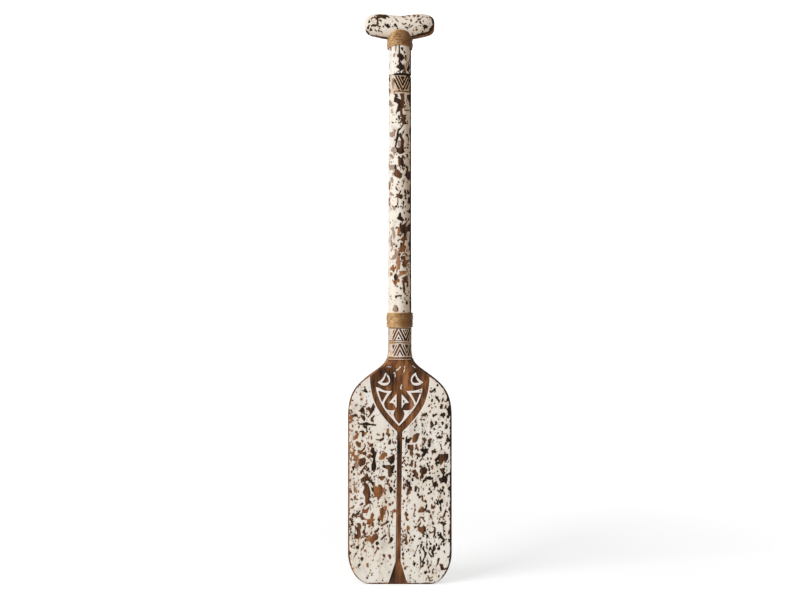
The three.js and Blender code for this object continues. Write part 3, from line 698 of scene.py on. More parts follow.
def board_chips():
    """The small chips of the front and of the back."""
    front = scatter(3000, (-92, 2), (92, 385), BOARD_WORN, 0.12, board_tone, 22)
    front += dotted_lines(70, (-90, 10), (90, 270), board_tone, 24)
    back = scatter(1500, (-92, 2), (92, 400), BOARD_WORN, 0.12, board_tone, 23)
    return front, back


def board_edge(place, run, length):
    """Distance to the wood that shows along the arrises, the shoulders' rim and the foot."""
    x, z = place[..., 0], place[..., 2]
    ragged = turbulence(place, (0.005, 0.005, 0.009), 3, 8.8)
    face = half_width(z) - corner_radius(z)
    folded = np.minimum(np.abs(run), 2 * length - np.abs(run))
    # Narrower bare arris on the left: the dark strip on the right is partly painted shade.
    arris = np.abs(folded - (face + ARRIS)) - ARRIS_WORN + 0.3 * MM * until(x, 4, 8)
    arris = arris + ragged * 1.5 * MM + FAR * past(z, 362, 8)
    shoulder = half_width(z) - np.abs(x) - SHOULDER_WORN + ragged * 0.4 * MM
    shoulder = shoulder + FAR * until(z, 360, 6) + FAR * past(z, 393, 3)
    return np.minimum(np.minimum(arris, shoulder), z - FOOT_WORN + ragged * 1.2 * MM)


def board_wear(place, run, length):
    """Distance to bare wood and its tone."""
    (u, v), half, (across, up) = on_sheet(place, run, 3.0)
    front, back = board_chips()
    behind = np.where(run < 0, u + 2 * length, u - 2 * length)
    worn = nearer(chip_field(*half, front), chip_field(behind, v, back))
    facing = np.abs(run) < length
    worn = nearer(worn, flake_field(off_sheet(across, ~facing), up, BOARD_FLAKES))
    worn = nearer(worn, flake_field(off_sheet(across, facing), up - BACK_LIFT, BOARD_FLAKES[::2]))
    # Painted light and shade: bare edges are light on the left and dark on the right.
    edge_tone = np.where(place[..., 0] < 0, LIT_EDGE_TONE, SHADED_EDGE_TONE)
    return nearer(worn, (board_edge(place, run, length), edge_tone))


# %% [markdown]
# ## The carved ground
#
# The ground of the shield is stained unevenly, scorched nearly black in places and orange in
# others, and a few flecks of paint were left on it. A narrow light streak down the left side of
# the groove is painted highlight. A low rib runs down the flared foot of the groove. Tone and
# flecks are drawn like the wear: soft patches and small outlines.

# %% Stain, flecks and rib
GROUND_TONE = 0.49
# Stains of the ground; the narrow one at -5 mm across is a painted highlight in the groove.
SCORCHES_AND_HIGHLIGHT = [
    (12, 358, 6, 22, 0.12), (-7, 352, 8, 22, -0.3), (-32, 372, 16, 14, -0.3), (38, 370, 14, 18, -0.34),
    (-46, 350, 7, 16, -0.22), (12, 340, 9, 9, 0.16), (-2, 20, 18, 26, -0.22), (-1, 384, 12, 9, 0.1),
    (-12, 284, 9, 13, -0.2), (14, 286, 9, 14, 0.14), (-45, 332, 7, 16, 0.08), (0, 312, 6, 12, -0.08),
    (-4, 240, 6, 20, -0.3), (-5, 150, 1.6, 110, 0.5), (1, 112, 5, 16, -0.24), (1, 205, 3, 22, -0.16),
    (-2.5, 20, 1.4, 30, 0.34),
]
FLECKS = [
    (1, 0, 381, -2, 377, -6, 373, -7, 371, -3, 374, 1, 379),
    (1, 9, 382, 10, 376, 7, 369, 6, 369, 8, 376, 8, 381),
    (1, -13, 367, -8, 370, -7, 362, -9, 362, -9, 368), (1, 2, 350, 0, 343, 4, 337, 2, 343, 3, 349),
    (1, 22, 383, 29, 379, 28, 378, 22, 382), (1, -23, 380, -15, 380, -15, 379, -23, 379),
    (1, 4, 366, 8, 368, 4, 367),
]
FLECK_BEND = 0.3
RIB_HEIGHT, RIB_HALF = 0.8 * MM, 2.4 * MM
CUT_EDGE, RIM_HIGHLIGHT_HALF, RIM_HIGHLIGHT_START = 0.5 * MM, 0.9 * MM, 360 * MM


def paint_left_on(cut, place, run):
    """The cut without the flecks of paint that were left on the ground."""
    z = place[..., 2]
    u, v = bend(place, run, z, 40.0)
    flecks = flake_field(run + FLECK_BEND * (u - run), z + FLECK_BEND * (v - z), FLECKS)[0]
    return np.maximum(cut, -flecks)


def carved_tone(tone, x, z, run, carved, bands):
    """The tone of the wood in the cuts, with an orange painted highlight along the inside of the
    left shoulder's rim, and painted shade that darkens the neck's cuts towards the right.
    """
    ground = GROUND_TONE + patches(x / MM, z / MM, SCORCHES_AND_HIGHLIGHT)
    tone = np.where(carved < CUT_EDGE, ground, tone)
    # Painted highlight: a light line along the inside of the left shoulder's rim.
    line = np.exp(-(((half_width(z) + x - RIM) / RIM_HIGHLIGHT_HALF) ** 2))
    tone = tone + 0.45 * line * (z > RIM_HIGHLIGHT_START) * (z < FIELD_TOP)
    # Painted shade: the neck's cuts darken towards the right, where the neck turns from the light.
    return np.where(bands < CUT_EDGE, 0.7 - 0.78 * past(run, 0, 12), tone)


def neck_tan(run, z):
    """The neck has lost its white at the left and on the right, where a tan wash is left. On the
    right the tan is partly painted shade, where the neck turns from the light.
    """
    # Painted shade in part: more tan on the right-hand side.
    sides = 0.3 * until(run, -6, 6) + 0.6 * past(run, 2, 12)
    between = 0.5 * np.exp(-(((z - 422.4 * MM) / (2.6 * MM)) ** 2))
    rings = between + 0.4 * (z > 446 * MM) + 0.3 * (z < 398 * MM)
    return past(z, 388, 3) * np.clip(0.27 + sides + rings, 0, 0.88)


def rib(x, z):
    """How far the rib stands above the foot of the groove."""
    middle = smooth(1 - np.abs(x - groove_middle(z)) / RIB_HALF)
    return RIB_HEIGHT * middle * smooth((FOOT_RISE - z) / FOOT_RISE)


# %% Make the board
CUT_DEPTH, BAND_DEPTH, PAINT_DEPTH = 1.9 * MM, 1.3 * MM, 0.35 * MM
FRONT_COLUMNS, BACK_COLUMNS = 92, 28
SHIELD_START, BANDS_START, BANDS_END = 262 * MM, 392 * MM, 448 * MM
BOARD_ZONES = [
    (FOOT_ARRIS, 1.6 * MM), (SHIELD_START, 0.95 * MM), (BANDS_START, 0.62 * MM), (BANDS_END, 3 * MM),
]
SHIELD_KEPT, RIM_KEPT = 1.5 * MM, 6 * MM


def board_grid():
    """Heights of the rings, and where on each ring its points are."""
    arris = FOOT_ARRIS * (1 - np.cos(np.linspace(0, math.pi / 2, 5)[:-1]))
    heights = np.concatenate([arris, ring_heights(BOARD_ZONES, NECK_TOP)])
    columns = [FRONT_COLUMNS, BACK_COLUMNS, BACK_COLUMNS, FRONT_COLUMNS]
    quarters = [np.linspace(k, k + 1, count, endpoint=False) for k, count in enumerate(columns)]
    return heights[:, None], np.concatenate(quarters)[None, :]


def board_sink(place, carved, bands, bare):
    """How far the surface lies inside the uncarved board. The lowest ring stays on the floor."""
    x, z = place[..., 0], place[..., 2]
    sink = CUT_DEPTH * until(carved, 0, 1.5) + BAND_DEPTH * until(bands, 0, 0.8)
    sink = sink - np.where(carved < -MM, rib(x, z), 0)
    sink = sink + PAINT_DEPTH * until(bare, 0, 1.0) * (np.minimum(carved, bands) > 0)
    sink = sink + hand_worked(place, 0.35 * MM, (0.05, 0.05, 0.12), 2.2)
    return np.where(z < 0.1 * MM, 0, sink)


def board_piece():
    """The whole board: its ring points sunk by carving and wear, with its fields."""
    place, out, run, length = board_ring(*board_grid())
    x, y, z = place[..., 0], place[..., 1], place[..., 2]
    front = (y < 0) & (np.abs(run) < half_width(z) + 2 * MM)
    carved = np.where(front, cut_field(x, z), FAR)
    bands = np.where(z > BANDS_START, neck_cuts(run, z), FAR)
    bare, tone = board_wear(place, run, length)
    kept = front & (outline_distance(x, z, shield_outline()) < SHIELD_KEPT)
    bare = np.where(kept & (np.abs(x) < half_width(z) - RIM_KEPT), FAR, bare)
    rings = place - out * board_sink(place, carved, bands, bare)[..., None]
    cut = paint_left_on(np.minimum(carved, bands), place, run)
    tone = carved_tone(tone, x, z, run, carved, bands)
    return skin("carved_board", rings, {"cut": cut, "bare": bare, "tone": tone, "tan": neck_tan(run, z)})


board = board_piece()
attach(board, "root")
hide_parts("blade")

# %% [markdown]
# ## The pole
#
# The pole is turned, a little thicker at its foot, with a tenon on each end that the bindings
# hide. A cone with its tip cut off would give the same outline, but no denser mesh at the carved
# band than elsewhere. The surface is unrolled to arc and height, so the chips and the zigzag band
# are drawn on it as on a flat sheet.

# %% Sizes of the pole
pole_low, pole_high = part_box("pole")
GRIP_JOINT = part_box("grip")[0].z
FOOT_RADIUS, TOP_RADIUS, TENON_RADIUS = 20.6 * MM, 20 * MM, 10 * MM
JOINT_GAP = 0.3 * MM
POLE_BAND = (GRIP_JOINT - 84.5 * MM, GRIP_JOINT - 59.5 * MM)
print(f"pole {1000 * (GRIP_JOINT - NECK_TOP):.0f} mm between its joints")

# %% Flakes of the pole, written like the board's
# The pale grey flakes down the left side, tone 0.9 and more, are painted sheen where light falls.
POLE_FLAKES = [
    (0.16, -5, 924, -3, 928, 0, 930, 5, 926, 8, 921, 3, 915, -1, 919),
    (0.4, -2, 945, 0, 945, 0, 929, -2, 928), (0.85, -9, 946, -5, 946, -7, 932, -8, 934),
    (0.12, -7, 905, -3, 907, 0, 914, 2, 914, 8, 903, 6, 900, 1, 898, -1, 901),
    (0, -4, 897, 1, 899, 1, 897, -4, 896), (0, 3, 939, 5, 939, 6, 935, 5, 934),
    (0.1, 9, 926, 12, 925, 12, 916, 9, 917), (0.1, 7, 902, 10, 901, 11, 893, 8, 892),
    (0, 7, 932, 9, 933, 10, 929, 8, 928),
    (0.1, 12, 900, 16, 910, 18, 904, 16, 896), (1, -18, 941, -15, 939, -15, 934, -17, 934),
    (1, -21, 907, -19, 906, -20, 902, -21, 903), (1, -14, 884, -11, 886, -9, 876, -12, 866, -14, 872),
    (0.6, -20, 889, -18, 891, -17, 886, -18, 879, -20, 881), (0.7, -20, 866, -17, 866, -16, 861, -20, 860),
    (0.3, -10, 858, -4, 858, -4, 853, -6, 852, -8, 855), (0.15, 0, 858, 8, 858, 8, 847, 4, 846, 2, 852),
    (0.22, -11, 845, -5, 851, 2, 847, 4, 856, 8, 856, 7, 843, 9, 841, 6, 837, 12, 836, 5, 832, 4, 825,
      6, 821, 12, 821, 10, 817, 11, 814, 9, 811, 12, 806, 15, 806, 15, 805, 7, 804, 4, 806, 5, 817, 1,
      818, 1, 829, -4, 826, -7, 823, -4, 836, -2, 841, -8, 843),
    (0.12, 13, 856, 19, 856, 19, 843, 16, 845, 13, 851),
    (0.55, 7, 829, 10, 830, 17, 829, 17, 828, 10, 828), (0.1, 6, 805, 7, 804, 0, 794, -2, 794),
    (0.05, -5, 790, -4, 796, 0, 798, -2, 790, -2, 783, -6, 768, -8, 759, -9, 764, -6, 784),
    (0.1, 5, 791, 8, 795, 7, 788, 4, 789),
    (0.16, 0, 789, 3, 789, 4, 783, 8, 776, 7, 763, 7, 754, 0, 752, -6, 756, -6, 762, -1, 764, 2, 770, 2,
      778, -1, 784), (0.95, -3, 775, 0, 776, 2, 771, 1, 763, -4, 767),
    (0.9, -16, 757, -14, 763, -8, 765, -7, 763, -8, 754, -11, 755),
    (0.85, -18, 789, -11, 791, -11, 796, -7, 794, -9, 789, -9, 784, -14, 781, -17, 783),
    (0.95, -19, 846, -17, 846, -12, 837, -15, 835, -20, 838),
    (0.8, -19, 749, -16, 753, -10, 746, -12, 744, -16, 747),
    (0.25, -3, 740, -1, 746, 5, 746, 7, 740, 7, 731, 5, 729, 2, 733, -2, 733),
    (0, 11, 751, 14, 752, 15, 749, 12, 749), (0.1, 12, 785, 14, 788, 15, 781, 13, 782),
    (0.5, -15, 809, -11, 808, -12, 806, -14, 807),
    (0.38, -11, 718, -8, 725, -6, 726, -1, 723, 2, 718, 6, 717, 3, 716, 4, 712, 0, 709, -9, 714),
    (0.15, 10, 715, 12, 725, 14, 730, 15, 729, 14, 720, 17, 718, 20, 716, 19, 710, 16, 706, 11, 712),
    (0.5, 6, 703, 7, 705, 8, 705, 7, 700, 6, 698), (0, -3, 703, -2, 705, 0, 703, -2, 701),
    (0.7, -6, 698, -4, 700, -3, 699, -4, 697), (0, 8, 688, 9, 690, 11, 689, 10, 686),
    (0.2, 13, 689, 15, 689, 15, 681, 13, 683), (0, 9, 674, 11, 676, 12, 674, 11, 672),
    (0.4, -8, 694, -7, 695, -3, 689, -3, 688, -6, 689),
    (0.35, -2, 683, 1, 689, 3, 688, 0, 682, 2, 680, -3, 674, -4, 676, -9, 676, -5, 679),
    (0.4, -4, 674, -3, 674, -3, 663, -5, 661, -6, 662, -4, 663),
    (0.1, 5, 669, 7, 668, 7, 661, 5, 656, 4, 657, 6, 661),
    (0.5, -20, 703, -19, 702, -17, 694, -19, 688), (0.6, -20, 674, -18, 674, -18, 661, -20, 663),
    (0.92, -17, 685, -11, 681, -11, 679, -16, 679, -18, 682),
    (1, -18, 733, -11, 733, -10, 728, -11, 725, -18, 724),
    (1, -16, 710, -13, 712, -12, 707, -12, 701, -16, 704),
    (0.15, 16, 674, 18, 679, 20, 666, 17, 665, 14, 668),
    (0.15, 11, 652, 16, 653, 19, 659, 20, 645, 17, 649),
    (0.1, -5, 640, -3, 642, 0, 649, 2, 649, 3, 640, 7, 638, 7, 635, 4, 634, -4, 638),
    (1.35, -16, 621, -13, 624, -11, 623, -8, 608, -11, 602, -13, 617),
    (0.22, 1, 632, 4, 627, 13, 633, 10, 624, 20, 631, 20, 617, 13, 616, 11, 609, 7, 609, 8, 613, 3,
      613, 0, 625), (0.85, -4, 614, -3, 622, 0, 625, 1, 624, 1, 613),
    (0.5, -1, 612, 3, 612, 1, 607, -1, 608),
    (0.6, 0, 601, 4, 605, 8, 610, 12, 609, 13, 601, 10, 601, 7, 597, 2, 601),
    (0.75, -17, 602, -15, 601, -13, 592, -16, 593),
    (0.72, 0, 589, 2, 593, 5, 596, 9, 598, 8, 592, 11, 590, 11, 587, 8, 585, 9, 581, -4, 580, -1, 584),
    (0.1, 8, 592, 11, 590, 11, 587, 8, 585, 9, 580, 7, 582), (0.1, 17, 600, 20, 599, 18, 589, 16, 589),
    (0.8, -16, 584, -13, 589, -13, 586, -16, 581), (0.2, -12, 593, -10, 596, -9, 594, -10, 592),
    (0.15, -8, 590, -6, 592, -4, 590, -6, 588), (0.1, 9, 578, 12, 577, 14, 575, 13, 572, 10, 575),
    (1.3, -16, 567, -13, 572, -8, 577, -9, 585, -5, 583, -3, 575, -4, 570, -10, 567),
    (0.85, -7, 562, -4, 570, -1, 573, 0, 571, 1, 560, 0, 550, -3, 550, -5, 543, -6, 548, -4, 555),
    (0.5, 1, 571, 9, 573, 11, 566, 16, 567, 16, 564, 11, 557, 10, 552, 4, 557, 7, 567),
    (0.9, 0, 544, 2, 547, 9, 547, 14, 548, 11, 542, 5, 541, -2, 536, -4, 536),
    (0.3, 4, 534, 9, 537, 14, 539, 12, 531, 15, 529, 15, 525, 10, 527, 8, 525, 9, 521, 10, 513, 8, 508,
      6, 510, 7, 518, 5, 524, 8, 531), (0.9, -18, 550, -12, 558, -9, 551, -10, 545, -16, 549),
    (0.9, -17, 544, -13, 544, -13, 539, -16, 539),
    (0.85, -12, 528, -7, 532, -9, 537, -5, 538, -4, 530, -7, 520),
    (0.3, -9, 503, 1, 505, 2, 503, -8, 501), (0, 10, 490, 12, 495, 14, 491, 14, 488, 11, 488),
    (0.9, -13, 478, -10, 487, -6, 487, -4, 476, -9, 475), (0.15, -6, 487, -3, 481, -3, 476, -5, 476),
]
POLE_WORN = [
    (6, 590, 16, 65, 0.8), (2, 830, 16, 30, 0.7), (2, 720, 22, 70, 0.6), (0, 510, 22, 25, 0.5),
    (28, 640, 6, 260, 0.8), (-29, 640, 3, 260, 0.3), (12, 910, 14, 34, 0.85), (12, 700, 15, 240, 0.42),
]
# Chips along both edges: pale ones on the left are painted sheen, dark ones on the right shade.
POLE_SMUDGES_AND_PAINTED_LIGHT = [
    (-25, 733, 1.8, 6, 1.1), (-23, 700, 1.8, 5, 1.1), (-21, 660, 1.6, 5, 1.1), (-25, 600, 1.8, 6, 1.0),
    (-26, 545, 2, 6, 1.0), (-25, 860, 2.4, 8, 1.1), (-25, 905, 2, 6, 1.1), (27, 905, 3, 14, 0.3),
    (27, 800, 3, 22, 0.15), (27, 740, 2.6, 14, 0.35), (28, 660, 2.6, 12, 0.3), (27, 560, 3, 18, 0.2),
    (26, 500, 2.6, 9, 0.1), (22, 842, 3, 9, 0.1),
]
print(f"{len(POLE_FLAKES)} flakes drawn on the pole")

# %% The pole's wear as one field
TURNED_OVER = 1420 * MM
SIDE_GAP, FLAKE_GROWN = 3 * MM, 0.35 * MM
STRIP_MIDDLE, STRIP_HALF, STRIP_RAGGED, STRIP_SHADE_TONE = 26 * MM, 4.2 * MM, 5 * MM, 0.06


def pole_tone(u, v):
    """Bare wood is dark above and warm lower down. Along the left edge it is pale grey, a painted
    sheen where the light falls.
    """
    # Painted sheen: pale grey tone along the left edge, where the light falls.
    return 0.08 + 0.45 * math.exp(-(((v - 570) / 50) ** 2)) + (-31 < u < -9)


def pole_wear(place, u):
    """Distance to bare wood and its tone. The back repeats the front's flakes upside down, and a
    dark strip of bare wood, partly painted shade, runs up the right-hand side."""
    y, z = place[..., 1], place[..., 2]
    _, half, (across, up) = on_sheet(place, u, 7.0)
    chips = POLE_SMUDGES_AND_PAINTED_LIGHT + scatter(1700, (-64, 470), (64, 948), POLE_WORN, 0.13, pole_tone, 32)
    worn = chip_field(*half, chips)
    front = flake_field(off_sheet(across, y > -SIDE_GAP), up, POLE_FLAKES)
    back = flake_field(off_sheet(across, y < SIDE_GAP), TURNED_OVER - up, POLE_FLAKES)
    ragged = turbulence(place, (0.006, 0.006, 0.012), 3, 5.5) * STRIP_RAGGED
    # Painted shade in part: the dark strip up the right-hand edge, turned from the light.
    worn = nearer(worn, (np.abs(u - STRIP_MIDDLE) - STRIP_HALF + ragged, STRIP_SHADE_TONE))
    bare, tone = nearer(nearer(worn, (front[0] - FLAKE_GROWN, front[1])), back)
    greyed = np.maximum(past(z, 625, 25), until(z, 500, 10))
    return bare, tone + 0.35 * (tone > 0.6) * greyed


# %% Make the pole
POLE_COLUMNS, POLE_STEP, POLE_FINE_STEP, BAND_MARGIN = 168, 1.0 * MM, 0.62 * MM, 6 * MM
POLE_CHEVRONS, POLE_SHIFT = 4, 5.4 * MM
POLE_LINE = (POLE_BAND[0] + 4.2 * MM, -30.5 * MM)
POLE_STRIPES = [(0.85, 3.6, 0), (5.0, 99, 1.2), (-3.7, -0.85, 0), (-8.6, -5.4, 1.6)]
POLE_RINGS = [(POLE_BAND[0] - 1.8 * MM, 0.9 * MM), (POLE_BAND[1] + 2.7 * MM, 2.1 * MM)]
POLE_ZONES = [
    (NECK_TOP, POLE_STEP), (POLE_BAND[0] - BAND_MARGIN, POLE_FINE_STEP),
    (POLE_BAND[1] + BAND_MARGIN, POLE_STEP),
]


def pole_grid():
    """Points of the pole, their outward directions, and the arc to each from the front's middle."""
    angle = np.linspace(0, 2 * math.pi, POLE_COLUMNS, endpoint=False)[None, :]
    heights = ring_heights(POLE_ZONES, GRIP_JOINT)
    heights[0] += JOINT_GAP
    heights[-1] -= JOINT_GAP
    z = heights[:, None] + 0 * angle
    radius = FOOT_RADIUS + (TOP_RADIUS - FOOT_RADIUS) * (z - NECK_TOP) / (GRIP_JOINT - NECK_TOP)
    out = np.stack([np.sin(angle) + 0 * z, -np.cos(angle) + 0 * z, 0 * z], axis=-1)
    arc = radius * (np.mod(angle + math.pi, 2 * math.pi) - math.pi)
    return out * radius[..., None] + np.stack([0 * z, 0 * z, z], axis=-1), out, arc


def pole_cuts(u, z):
    """The pole's band and its two rings."""
    around = 2 * math.pi * TOP_RADIUS
    cut = zigzag(u, z, POLE_LINE, POLE_BAND, POLE_CHEVRONS, around, POLE_SHIFT, POLE_STRIPES)
    return filled_left(with_rings(cut, z, POLE_RINGS), u, -9, 1.6 * MM)


def pole_tan(u, z):
    """The band and the right-hand side have a tan wash instead of white. On the right the tan is
    also painted shade, where the pole turns from the light.
    """
    in_band = past(z - POLE_BAND[0], -6.5, 3) * until(z - POLE_BAND[1], 5, 3)
    # Painted shade in part: the tan grows towards the right.
    return np.maximum(in_band * (0.45 + 0.45 * past(u, -14, 14)), 0.55 * past(u, 0, 15))


def with_tenons(rings, out):
    """The rings between a thin tenon below and one above."""
    ends = (pole_low.z, NECK_TOP + JOINT_GAP, GRIP_JOINT - JOINT_GAP, pole_high.z)
    tenons = [out[:1] * TENON_RADIUS + np.array([0, 0, height]) for height in ends]
    return np.concatenate([*tenons[:2], rings, *tenons[2:]])


def pole_piece():
    """The whole pole, with its fields carried over onto the tenons."""
    place, out, u = pole_grid()
    z = place[..., 2]
    cut = pole_cuts(u, z)
    bare, tone = pole_wear(place, u)
    # Painted shade: the band's cuts are light on the left and dark to the right.
    shaded_cut_tone = 0.4 - 0.7 * past(u, -12, 12) + 0.45 * (z < POLE_BAND[0]) * (u < 0)
    tone = np.where(cut < CUT_EDGE, shaded_cut_tone, tone)
    sink = BAND_DEPTH * until(cut, 0, 0.9) + PAINT_DEPTH * until(bare, 0, 1.0) * (cut > 0)
    sink = sink + hand_worked(place, 0.5 * MM, (0.04, 0.04, 0.15), 9.2)
    fields = {"cut": cut, "bare": bare, "tone": tone, "tan": pole_tan(u, z)}
    fields = {name: np.pad(values, ((2, 2), (0, 0)), mode="edge") for name, values in fields.items()}
    return skin("turned_pole", with_tenons(place - out * sink[..., None], out), fields)


pole = pole_piece()
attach(pole, "root")
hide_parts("pole")

# %% [markdown]
# ## The grip
#
# The hand grip is a short, full bar with round ends that rise a little, so that its top has a
# shallow saddle. A capsule looks too round for it and a rounded box too hard. Its outline and its
# section are both superellipses, which are fuller than an ellipse and softer than a box, as a
# shape worn by hands is.

# %% Sizes and flakes of the grip
GRIP_FULLNESS, SECTION_FULLNESS = 3.7, 2.4
GRIP_HALF = Vector((61.5, 18, 21.7)) * MM
GRIP_MIDDLE = GRIP_JOINT + 6 * MM + GRIP_HALF.z
END_LIFT, LIFTED_AT = 4.4 * MM, 0.8
GRIP_RINGS, GRIP_COLUMNS, GRIP_END = 190, 132, 0.012
GRIP_FLAKES = [
    (0.2, -43, 996, -35, 997, -23, 996, -18, 992, -19, 991, -23, 993, -25, 992, -24, 989, -28, 990,
      -33, 992, -38, 990, -38, 981, -39, 978, -33, 976, -35, 975, -42, 977, -50, 975, -51, 977, -47,
      980, -41, 979, -40, 985, -40, 990, -45, 991, -50, 989, -48, 983, -49, 985, -51, 990, -48, 992,
      -41, 992, -40, 994), (0.3, -38, 987, -34, 989, -32, 985, -33, 984, -36, 986),
    (0.3, -54, 968, -51, 974, -48, 970, -49, 968), (0.4, -45, 973, -40, 967, -42, 967),
    (0.5, -37, 973, -36, 974, -34, 973, -36, 971), (0.3, -35, 969, -31, 967, -33, 966),
    (0.5, -31, 976, -29, 977, -27, 976, -29, 974), (0.02, -25, 977, -21, 981, -16, 975, -21, 973),
    (0.2, -13, 976, -12, 977, -11, 976, -12, 974), (0.05, -8, 978, -6, 977, -5, 975, -7, 976),
    (0.02, -5, 973, -4, 974, -2, 973, -4, 971), (0.5, 3, 993, 5, 994, 11, 993, 10, 992),
    (0.55, 11, 995, 18, 996, 17, 994), (0.5, 10, 988, 15, 989, 14, 988),
    (0, 4, 982, 7, 980, 11, 982, 11, 980, 7, 979, 5, 980), (0.2, 15, 977, 17, 980, 19, 980, 16, 976),
    (0.1, 11, 973, 13, 975, 15, 974, 13, 972), (0.3, 31, 988, 34, 990, 35, 989, 32, 987),
    (0.1, 28, 975, 29, 976, 30, 974, 28, 973), (0.4, 29, 969, 32, 971, 31, 969),
    (0.05, 39, 979, 41, 978, 41, 976), (0, 40, 975, 45, 979, 50, 976, 47, 972),
    (0.4, -60, 970, -55, 966, -57, 964, -59, 966),
]
GRIP_CRACKS = [((13.6, 971), (40.6, 993)), ((-10, 992.5), (-2, 983)), ((36, 977), (47, 974))]
GRIP_WORN = [(-38, 982, 18, 16, 0.6), (30, 975, 24, 16, 0.5), (58, 975, 6, 30, 0.6), (-58, 975, 6, 30, 0.4)]
print(f"{len(GRIP_FLAKES)} flakes and {len(GRIP_CRACKS)} cracks drawn on the grip")

# %% The grip's wear as one field
CRACK_HALF, GRIP_FLAKE_GROWN = 0.75 * MM, 0.3 * MM


def grip_tone(u, v):
    """Small chips are dark all over the grip."""
    return 0.2


def grip_chips():
    """Few small chips on the front and more on the back, which lies beside it on the sheet."""
    low, high = (-60, 950), (60, 1000)
    front = scatter(160, low, high, GRIP_WORN, 0.12, grip_tone, 42)
    back = scatter(300, low, high, GRIP_WORN, 0.3, grip_tone, 43)
    return front + [(u + OFF_SHEET / MM, *rest) for u, *rest in back]


def crack_distance(x, z, place):
    """Distance to the thin cracks in the paint, which noise breaks into dashes."""
    cracks = [line_distance(x, z, *(np.array(ends) * MM)) - CRACK_HALF for ends in GRIP_CRACKS]
    dashes = turbulence(place, (0.003, 0.003, 0.003), 2, 6.6) * 1.5 * MM
    return np.minimum(np.minimum.reduce(cracks), FAR) + np.maximum(dashes, -0.3 * MM)


def worn_and_shaded_belt(place, out):
    """A belt of bare wood round the bar's underside and its right-hand end, which face away from
    the light: partly worn by hands, partly painted shade.
    """
    # Chosen by how the surface faces: right and down, away from the light.
    sideways = out[..., 0] - 0.4 * out[..., 2]
    wide = 0.36 + 0.44 * past(place[..., 0], -30, 80) + 0.11 * smooth(out[..., 0] * 1.4)
    belt = np.maximum(np.abs(out[..., 1]) - wide, 0.1 - sideways) * 14 * MM
    return belt + turbulence(place, (0.008, 0.008, 0.008), 3, 1.6) * 2.2 * MM


def grip_wear(place, out):
    """Distance to bare wood and its tone. The belt, partly painted shade, is black at its edge
    and orange inside.
    """
    x, behind = place[..., 0], place[..., 1] > 0
    _, (half_u, half_v), (across, up) = on_sheet(place, x, 4.0)
    worn = chip_field(off_sheet(half_u, behind), half_v, grip_chips())
    drawn, drawn_tone = flake_field(off_sheet(across, behind), up, GRIP_FLAKES)
    placed, tone = nearer(worn, (drawn - GRIP_FLAKE_GROWN, drawn_tone - 0.1))
    seen_x, seen_up = seen(place)
    cracks = crack_distance(off_sheet(seen_x, behind), seen_up, place)
    belt = worn_and_shaded_belt(place, out)
    nearest = np.minimum(np.minimum(placed, cracks), belt)
    tone = np.where(cracks < placed, 0.0, tone)
    orange = 0.62 * until(belt, -3.2, 3)
    return nearest, np.where(nearest == belt, 0.36 + (orange - 0.4) * past(x, 0, 20), tone)


# %% Make the grip
def grip_grid():
    """Points of the bar and their outward directions."""
    share = -np.cos(np.linspace(GRIP_END, math.pi - GRIP_END, GRIP_RINGS))[:, None]
    angle = (np.arange(GRIP_COLUMNS) + 0.5)[None, :] / GRIP_COLUMNS * 2 * math.pi
    size = (1 - np.abs(share) ** GRIP_FULLNESS) ** (1 / GRIP_FULLNESS)
    lift = END_LIFT * (1 - np.cos(math.pi * np.minimum(1, np.abs(share) / LIFTED_AT))) / 2
    c, s = np.cos(angle), np.sin(angle)
    grow = (np.abs(c) ** SECTION_FULLNESS + np.abs(s) ** SECTION_FULLNESS) ** (-1 / SECTION_FULLNESS)
    x = GRIP_HALF.x * share + 0 * angle
    y = GRIP_HALF.y * size * grow * c
    z = GRIP_MIDDLE + lift + GRIP_HALF.z * size * grow * s
    place = np.stack([x, y, z], axis=-1)
    round_it = np.roll(place, -1, axis=1) - np.roll(place, 1, axis=1)
    return place, unit(np.cross(round_it, np.gradient(place, axis=0)))


def grip_piece():
    """The whole grip. It has no carving, so its distance to a cut is far all over."""
    place, out = grip_grid()
    bare, tone = grip_wear(place, out)
    sink = PAINT_DEPTH * until(bare, 0, 0.8) + hand_worked(place, 0.5 * MM, (0.05, 0.04, 0.04), 12.2)
    # Painted shade: tan grows towards the right-hand end and on the underside, away from the light.
    tan = 0.06 + 0.18 * past(place[..., 0], -10, 60) + 0.2 * smooth(-out[..., 2])
    fields = {"cut": FAR + 0 * bare, "bare": bare, "tone": tone, "tan": tan}
    return skin("hand_grip", place - out * sink[..., None], fields)


grip = grip_piece()
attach(grip, "root")
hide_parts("grip")

# %% [markdown]
# ## Cane
#
# Split cane is a flat strand about two and a half millimetres wide. Turn lies against turn, and a
# second, finer strand crosses over them in a lattice that goes over and under itself. A ribbed
# sleeve with a texture would look flat at its edges, so each strand is one real tube, swept along
# its path with a flattened section, and its edges catch the light.


# %% Strands
def strand(name, path, seat, width, thickness, sides=10):
    """A flattened strand along a path round the pole. Its fields say how far it is to the right,
    and how near a point is to the strand's edges, where turns shade each other. The cane's finish
    turns both into painted shade."""
    along = unit(np.gradient(path, axis=0))
    across = unit(np.cross(along, unit(path * [1, 1, 0])))
    out = np.cross(across, along)
    angle = np.arange(sides) / sides * 2 * math.pi
    flat = across[:, None, :] * (width / 2 * np.cos(angle))[None, :, None]
    rings = path[:, None, :] + flat + out[:, None, :] * (thickness / 2 * np.sin(angle))[None, :, None]
    seam = np.abs(np.cos(angle)) + np.zeros(rings.shape[:2])
    return skin(name, rings, {"side": rings[..., 0] / seat, "seam": seam})


def round_path(angle, radius, height):
    """Points round the pole, from its front on."""
    return np.stack([radius * np.sin(angle), -radius * np.cos(angle), height + 0 * angle], axis=-1)


